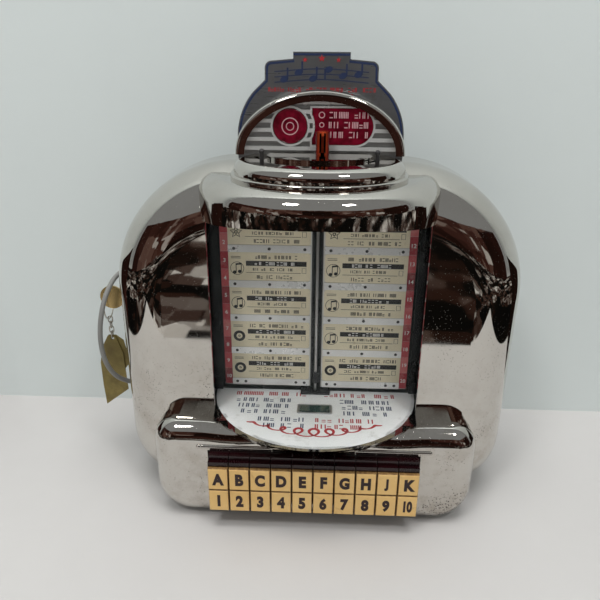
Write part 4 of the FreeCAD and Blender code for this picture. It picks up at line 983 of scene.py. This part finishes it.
# Symbols on the two red lenses: a coin ring, then three rows that each set a coin beside a line of ticks
lensPrint = {"y": 2.4, "roundX": -21.0, "roundZ": 299.4, "coins": ((5.6, 0.7), (2.6, 0.6)),
             "rows": ((307.2, 1.9), (300.6, 1.5), (294.0, 1.1)), "coinWide": 0.6, "left": 1.0,
             "marksLeft": 4.5, "right": 34.5, "style": (4.2, 2.3, 0.75), "steps": 32, "thick": 0.06,
             "seed": 5}


def printLenses(look):
    rule, y, marks = random.Random(look["seed"]), look["y"], []
    rings = [(look["roundX"], look["roundZ"], radius, width) for radius, width in look["coins"]]
    rings += [(look["left"], z, radius, look["coinWide"]) for z, radius in look["rows"]]
    shapes = [strokeMesh([(across, y, up) for across, up in circle(radius, look["steps"], x, z)], width,
                         look["thick"], closed=True) for x, z, radius, width in rings]
    for z, radius in look["rows"]:
        marks += markLine(look["marksLeft"], look["right"], y, z, look["style"][1], rule)
    dress(joined("lensSymbols", shapes), "inkPink", "cover")
    printMarks("lensMarks", marks, look["style"], "inkPink", "cover", seed=31)


printLenses(lensPrint)

# Liner of the coin slit: two dark green strips with a slot between them, set into the amber block
slitLiner = {"x": 1.9, "half": 1.75, "slot": 1.3, "y": -9.0, "low": 283.4, "high": 296.2, "thick": 0.35,
             "round": 0.3, "bevel": 0.1}


def lineSlit(look):
    strips = []
    for side in (-1, 1):
        x0, x1 = sorted((look["x"] + side * look["half"], look["x"] + side * look["slot"]))
        outline = roundedOutline(x0, x1, look["low"], look["high"], [look["round"]] * 4, 2)
        strips.append(plateMesh(outline, look["thick"], look["y"], look["bevel"]))
    dress(joined("coinSlitLiner", strips), "green_lens", "cover")


lineSlit(slitLiner)

# Sign behind the dome: a dark blue border, staves with notes, a line of ticks and three small stars
signPlate = {"y": 33.0, "border": 1.5, "inset": 1.7, "borderThick": 0.12, "seed": 12,
             "flank": ((62.0, 288.0), (58.5, 306.0), (50.0, 320.0)), "notch": (41.0, 328.5),
             "shoulder": ((41.0, 336.5), (39.6, 340.0), (36.0, 341.5)), "crown": (20.5, 342.8), "top": 347.5,
             "flankSteps": 10, "shoulderSteps": 6,
             "line": (-40.0, 40.0), "lineZ": 322.0, "style": (3.0, 1.7, 0.6),
             "stars": ((-12.0, 342.2, 2.0), (0.0, 343.2, 2.7), (12.0, 342.2, 2.0)), "starWaist": 0.42,
             "starPoints": 10}
signStaves = {"low": 327.6, "count": 3, "step": 3.6, "half": 34.0, "wide": 0.7, "thick": 0.08, "points": 16,
              "bow": 1.4, "bowLong": 16.0}
signNotes = {"places": ((-27.0, 0.4, 8.0), (-16.5, 1.5, 7.4), (-6.0, 0.2, 8.0), (5.0, 1.9, -7.0),
                        (15.5, 0.9, 8.0), (26.5, 1.4, 7.4)), "long": 3.1, "tall": 2.1, "lean": (0.94, 0.34),
             "steps": 20, "stem": 1.2, "thick": 0.14}


def arcThrough(a, b, c, steps):
    (ax, az), (bx, bz), (cx, cz) = a, b, c
    aa, bb, cc = [x ** 2 + z ** 2 for x, z in (a, b, c)]
    twice = 2 * (ax * (bz - cz) + bx * (cz - az) + cx * (az - bz))
    x = (aa * (bz - cz) + bb * (cz - az) + cc * (az - bz)) / twice
    z = (aa * (cx - bx) + bb * (ax - cx) + cc * (bx - ax)) / twice
    radius = math.hypot(ax - x, az - z)
    start, end = math.atan2(az - z, ax - x), math.atan2(cz - z, cx - x)
    sweep = (end - start + math.pi) % (2 * math.pi) - math.pi
    turns = [start + sweep * k / steps for k in range(steps + 1)]
    return [(x + radius * math.cos(turn), z + radius * math.sin(turn)) for turn in turns]


def insetLine(points, inset):
    moved = []
    for k, (x, z) in enumerate(points):
        x0, z0 = points[max(k - 1, 0)]
        x1, z1 = points[min(k + 1, len(points) - 1)]
        length = math.hypot(x1 - x0, z1 - z0)
        moved.append((x - (z1 - z0) / length * inset, z + (x1 - x0) / length * inset))
    return moved


def dressSign(look, staves, notes):
    y, shapes = look["y"], []

    def line(points, width, thick):
        shapes.append(strokeMesh([(x, y, z) for x, z in points], width, thick))

    def staveZ(x, step):
        return staves["low"] + step * staves["step"] + staves["bow"] * math.cos(x / staves["bowLong"])

    half = arcThrough(*look["flank"], look["flankSteps"]) + [look["notch"]]
    half += arcThrough(*look["shoulder"], look["shoulderSteps"])
    half += [look["crown"], (look["crown"][0], look["top"])]
    line(insetLine(half + [(-x, z) for x, z in reversed(half)], look["inset"]), look["border"],
         look["borderThick"])
    count = staves["points"]
    for k in range(staves["count"]):
        places = [staves["half"] * (j / count - 1) for j in range(2 * count + 1)]
        line([(x, staveZ(x, k)) for x in places], staves["wide"], staves["thick"])
    (main, cross), long, deep = notes["lean"], notes["long"], notes["tall"]
    for x, step, tall in notes["places"]:
        z = staveZ(x, step)
        head = [(x + long * c * main - deep * s * cross, z + long * c * cross + deep * s * main)
                for c, s in circle(1.0, notes["steps"])]
        shapes.append(plateMesh(head, notes["thick"], y))
        edge = x + math.copysign(long - notes["stem"] / 2, tall)
        line([(edge, z), (edge, z + tall)], notes["stem"], notes["thick"])
    dress(joined("signLines", shapes), "inkBlue", "cover")
    ticks = markLine(*look["line"], y, look["lineZ"], look["style"][1], random.Random(look["seed"]))
    printMarks("signMarks", ticks, look["style"], "inkRed", "cover", seed=37)
    stars = [plateMesh(star(size, look["starWaist"], look["starPoints"], x, z), notes["thick"], y)
             for x, z, size in look["stars"]]
    dress(joined("signStars", stars), "inkRed", "cover")


dressSign(signPlate, signStaves, signNotes)
print("lenses, slit and sign dressed")


# Screws that hold the works on the pan, seen from behind, and a bushing in the cable hole
panScrews = {"y": 72.3, "radius": 2.8, "height": 1.1, "slot": 0.16,
             "groups": (((-38.0, 38.0), (72.0, 152.0, 230.0)), ((-124.0, -72.0), (92.0, 164.0)),
                        ((74.0, 122.0), (128.0,)), ((-30.0, 30.0), (24.0,)))}
cableBushing = {"y": 72.3, "z": 40.0, "radius": 12.0, "steps": 48,
                "profile": ((-1.6, 1.4), (-1.9, 0.4), (-1.6, -2.6), (1.6, -2.6), (1.8, -1.7), (-0.1, -1.6),
                            (-0.1, 0.0), (2.2, 0.0), (2.2, 0.7), (1.0, 1.4))}


def placeScrews(look):
    places = [(x, look["y"], z) for across, up in look["groups"] for x in across for z in up]
    screwTree.grow("panScrews", places, [faceBack] * len(places), "zinc", "pan",
                   {"Radius": look["radius"] * mm, "Height": look["height"] * mm, "Slot Angle": look["slot"]})


def linePanHole(look):
    rows = [[(c * (look["radius"] + out), look["y"] + y, look["z"] + s * (look["radius"] + out))
             for out, y in look["profile"]] for c, s in circle(1.0, look["steps"])]
    dress(objectFrom("cableBushing", sweptMesh("cableBushing", rows, True, smooth=True)), "grommet", "pan")


placeScrews(panScrews)
linePanHole(cableBushing)
print("screws and bushing placed")


# Stage: a pale floor and wall, and dark cards that only show in the chrome; these sizes are in metres
stageLook = {"size": 4.0, "under": 0.0001, "wallY": 0.124, "wallTall": 2.6,
             "floorTones": ((0.57, 0.555, 0.54), 0.93), "wallTones": ((0.72, 0.77, 0.755), 0.96),
             "floorGrain": 60.0, "wallGrain": 30.0, "cloud": (3.0, 5.0, 0.6, 0.35, 0.65), "fleck": (4.0, 0.7),
             "shares": (0.6, 0.4), "rough": 0.5, "relief": (0.02, 0.1)}
# A dim room: near black, with brown patches and a few pale shapes in it
roomLook = {"floor": {"drift": 4.0, "cells": (8.0, 26.0),
                      "tones": ((0.0, (0.003, 0.003, 0.003)), (0.46, (0.006, 0.005, 0.004)),
                                (0.58, (0.03, 0.014, 0.01)), (0.7, (0.08, 0.055, 0.045)),
                                (0.8, (0.26, 0.24, 0.22)), (0.92, (0.66, 0.64, 0.6)))},
            "front": {"drift": 0.8, "cells": (1.3, 3.2),
                      "tones": ((0.0, (0.006, 0.004, 0.003)), (0.4, (0.02, 0.008, 0.006)),
                                (0.7, (0.05, 0.02, 0.015)), (0.85, (0.12, 0.07, 0.055)),
                                (0.95, (0.5, 0.48, 0.45)))}}
roomDrift = {"noise": (2.0, 0.5), "shift": (0.05, 0.025, 0.015), "shares": (0.7, 0.3)}
roomCards = {"front": -0.32, "side": 0.45, "wide": 1.7, "far": -2.4, "frontY": -1.7, "tall": 1.15,
             "lift": 0.001, "wallX": 1.5, "wallNear": -0.1, "wallLow": 0.7, "near": 0.32, "backNear": 0.16,
             "backFar": 0.3}


# A card that is only there from its front
def clearBehind(made, shader):
    behind = made.value("ShaderNodeNewGeometry", {}, {}, "Backfacing")
    clear = made.value("ShaderNodeBsdfTransparent", {}, {})
    return made.value("ShaderNodeMixShader", {}, {0: behind, 1: shader, 2: clear})


def stageFinish(name, tone, shade, grain, look, cutBack=False):
    made = Finish(name)
    fleck = made.noise(grain, *look["fleck"])
    colour = made.mix(blend((made.patch(*look["cloud"]), fleck), look["shares"]), tone,
                      [part * shade for part in tone])
    shader = made.shine(Base_Color=colour, Roughness=look["rough"],
                        Normal=made.bump(fleck, *look["relief"]))
    return made.close(clearBehind(made, shader) if cutBack else shader)


def roomFinish(name, look, move=roomDrift, cutBack=False):
    made = Finish(name)
    drift = made.noise(look["drift"], *move["noise"])
    shift = made.vector(**{axis: drift * far for axis, far in zip("XYZ", move["shift"])})
    spot = made.value("ShaderNodeVectorMath", {"operation": "ADD"}, {0: made.spot, 1: shift}, "Vector")
    cells = [made.value("ShaderNodeTexVoronoi", {"distance": "CHEBYCHEV"}, {"Vector": spot, "Scale": scale},
                        "Color") for scale in look["cells"]]
    reds = [made.value("ShaderNodeSeparateColor", {}, {"Color": cell}, "Red") for cell in cells]
    colour = made.ramp(blend(reds, move["shares"]), look["tones"])
    glow = made.value("ShaderNodeEmission", {}, {"Color": colour, "Strength": 1.0})
    return made.close(clearBehind(made, glow) if cutBack else glow)


def quad(name, corners, finish):
    mesh = meshOf(name, corners, [(0, 1, 2, 3)])
    mesh.materials.append(finish)
    made = objectFrom(name, mesh)
    return made


# Four corners of a card that lies level, or that stands along x with a height at each end
def level(x0, x1, y0, y1, z):
    return (x0, y0, z), (x1, y0, z), (x1, y1, z), (x0, y1, z)


def upright(x0, x1, y, tall0, tall1):
    return (x0, y, 0.0), (x1, y, 0.0), (x1, y, tall1), (x0, y, tall0)


def buildStage(look):
    size = look["size"]
    quad("floor", level(-size, size, -size, size, -look["under"]),
         stageFinish("floorFinish", *look["floorTones"], look["floorGrain"], look))
    quad("wall", upright(-size, size, look["wallY"], look["wallTall"], look["wallTall"]),
         stageFinish("wallFinish", *look["wallTones"], look["wallGrain"], look, cutBack=True))


def buildRoom(look, wallY):
    dim = {key: roomFinish(key + "RoomFinish", room, cutBack=key == "floor")
           for key, room in roomLook.items()}
    wide, lift, front, tall = look["wide"], look["lift"], look["front"], look["tall"]
    cards = {"roomFloor": level(-wide, wide, look["far"], front, lift),
             "roomFront": upright(-wide, wide, look["frontY"], tall, tall)}
    for label, sign in (("Left", -1), ("Right", 1)):
        x0, x1 = sorted((sign * wide, sign * look["side"]))
        x, far, near = sign * look["wallX"], look["frontY"], look["wallNear"]
        cards["roomFloor" + label] = level(x0, x1, front, wallY, lift)
        cards["roomWall" + label] = (x, far, 0.0), (x, near, 0.0), (x, near, look["wallLow"]), (x, far, tall)
        cards["roomBack" + label] = upright(sign * wide, sign * look["near"], wallY - lift, look["backFar"],
                                            look["backNear"])
    for name, corners in cards.items():
        card = quad(name, corners, dim["floor" if "Floor" in name else "front"])
        for kind in ("camera", "diffuse", "shadow", "transmission", "volume_scatter"):
            setattr(card, "visible_" + kind, False)


buildStage(stageLook)
buildRoom(roomCards, stageLook["wallY"])

# Lamps: place, size, power, and whether the chrome shows them
lamps = {"keyLamp": ((-0.7, -1.0, 1.9), 0.34, 9.0, True), "fillLamp": ((0.7, -0.9, 1.8), 0.26, 5.0, True),
         "ceilingLamp": ((0.0, 0.02, 2.1), 1.3, 43.0, False)}
lampTarget = (0.0, 0.0, 0.15)
worldLook = {"tone": (0.86, 0.88, 0.88), "soft": 0.52, "sharp": 0.3}


def addLamp(name, place, size, power, mirrored):
    data = bpy.data.lights.new(name, "AREA")
    data.size = size
    data.energy = power
    lamp = objectFrom(name, data)
    lamp.location = place
    lamp.visible_glossy = mirrored
    lamp.rotation_euler = (Vector(lampTarget) - Vector(place)).to_track_quat("-Z", "Y").to_euler()


def lightWorld(look):
    world = scene.world = bpy.data.worlds.new("world")
    world.use_nodes = True
    world.node_tree.nodes.clear()
    sky = Network(world.node_tree)
    mirrored = sky.value("ShaderNodeLightPath", {}, {}, "Is Glossy Ray")
    strength = mirrored * (look["sharp"] - look["soft"]) + look["soft"]
    glow = sky.value("ShaderNodeBackground", {}, {"Color": (*look["tone"], 1.0), "Strength": strength})
    sky.node("ShaderNodeOutputWorld", {}, {"Surface": glow})


for name, lamp in lamps.items():
    addLamp(name, *lamp)
lightWorld(worldLook)
scene.view_settings.view_transform = "Standard"
print("stage and lamps set")
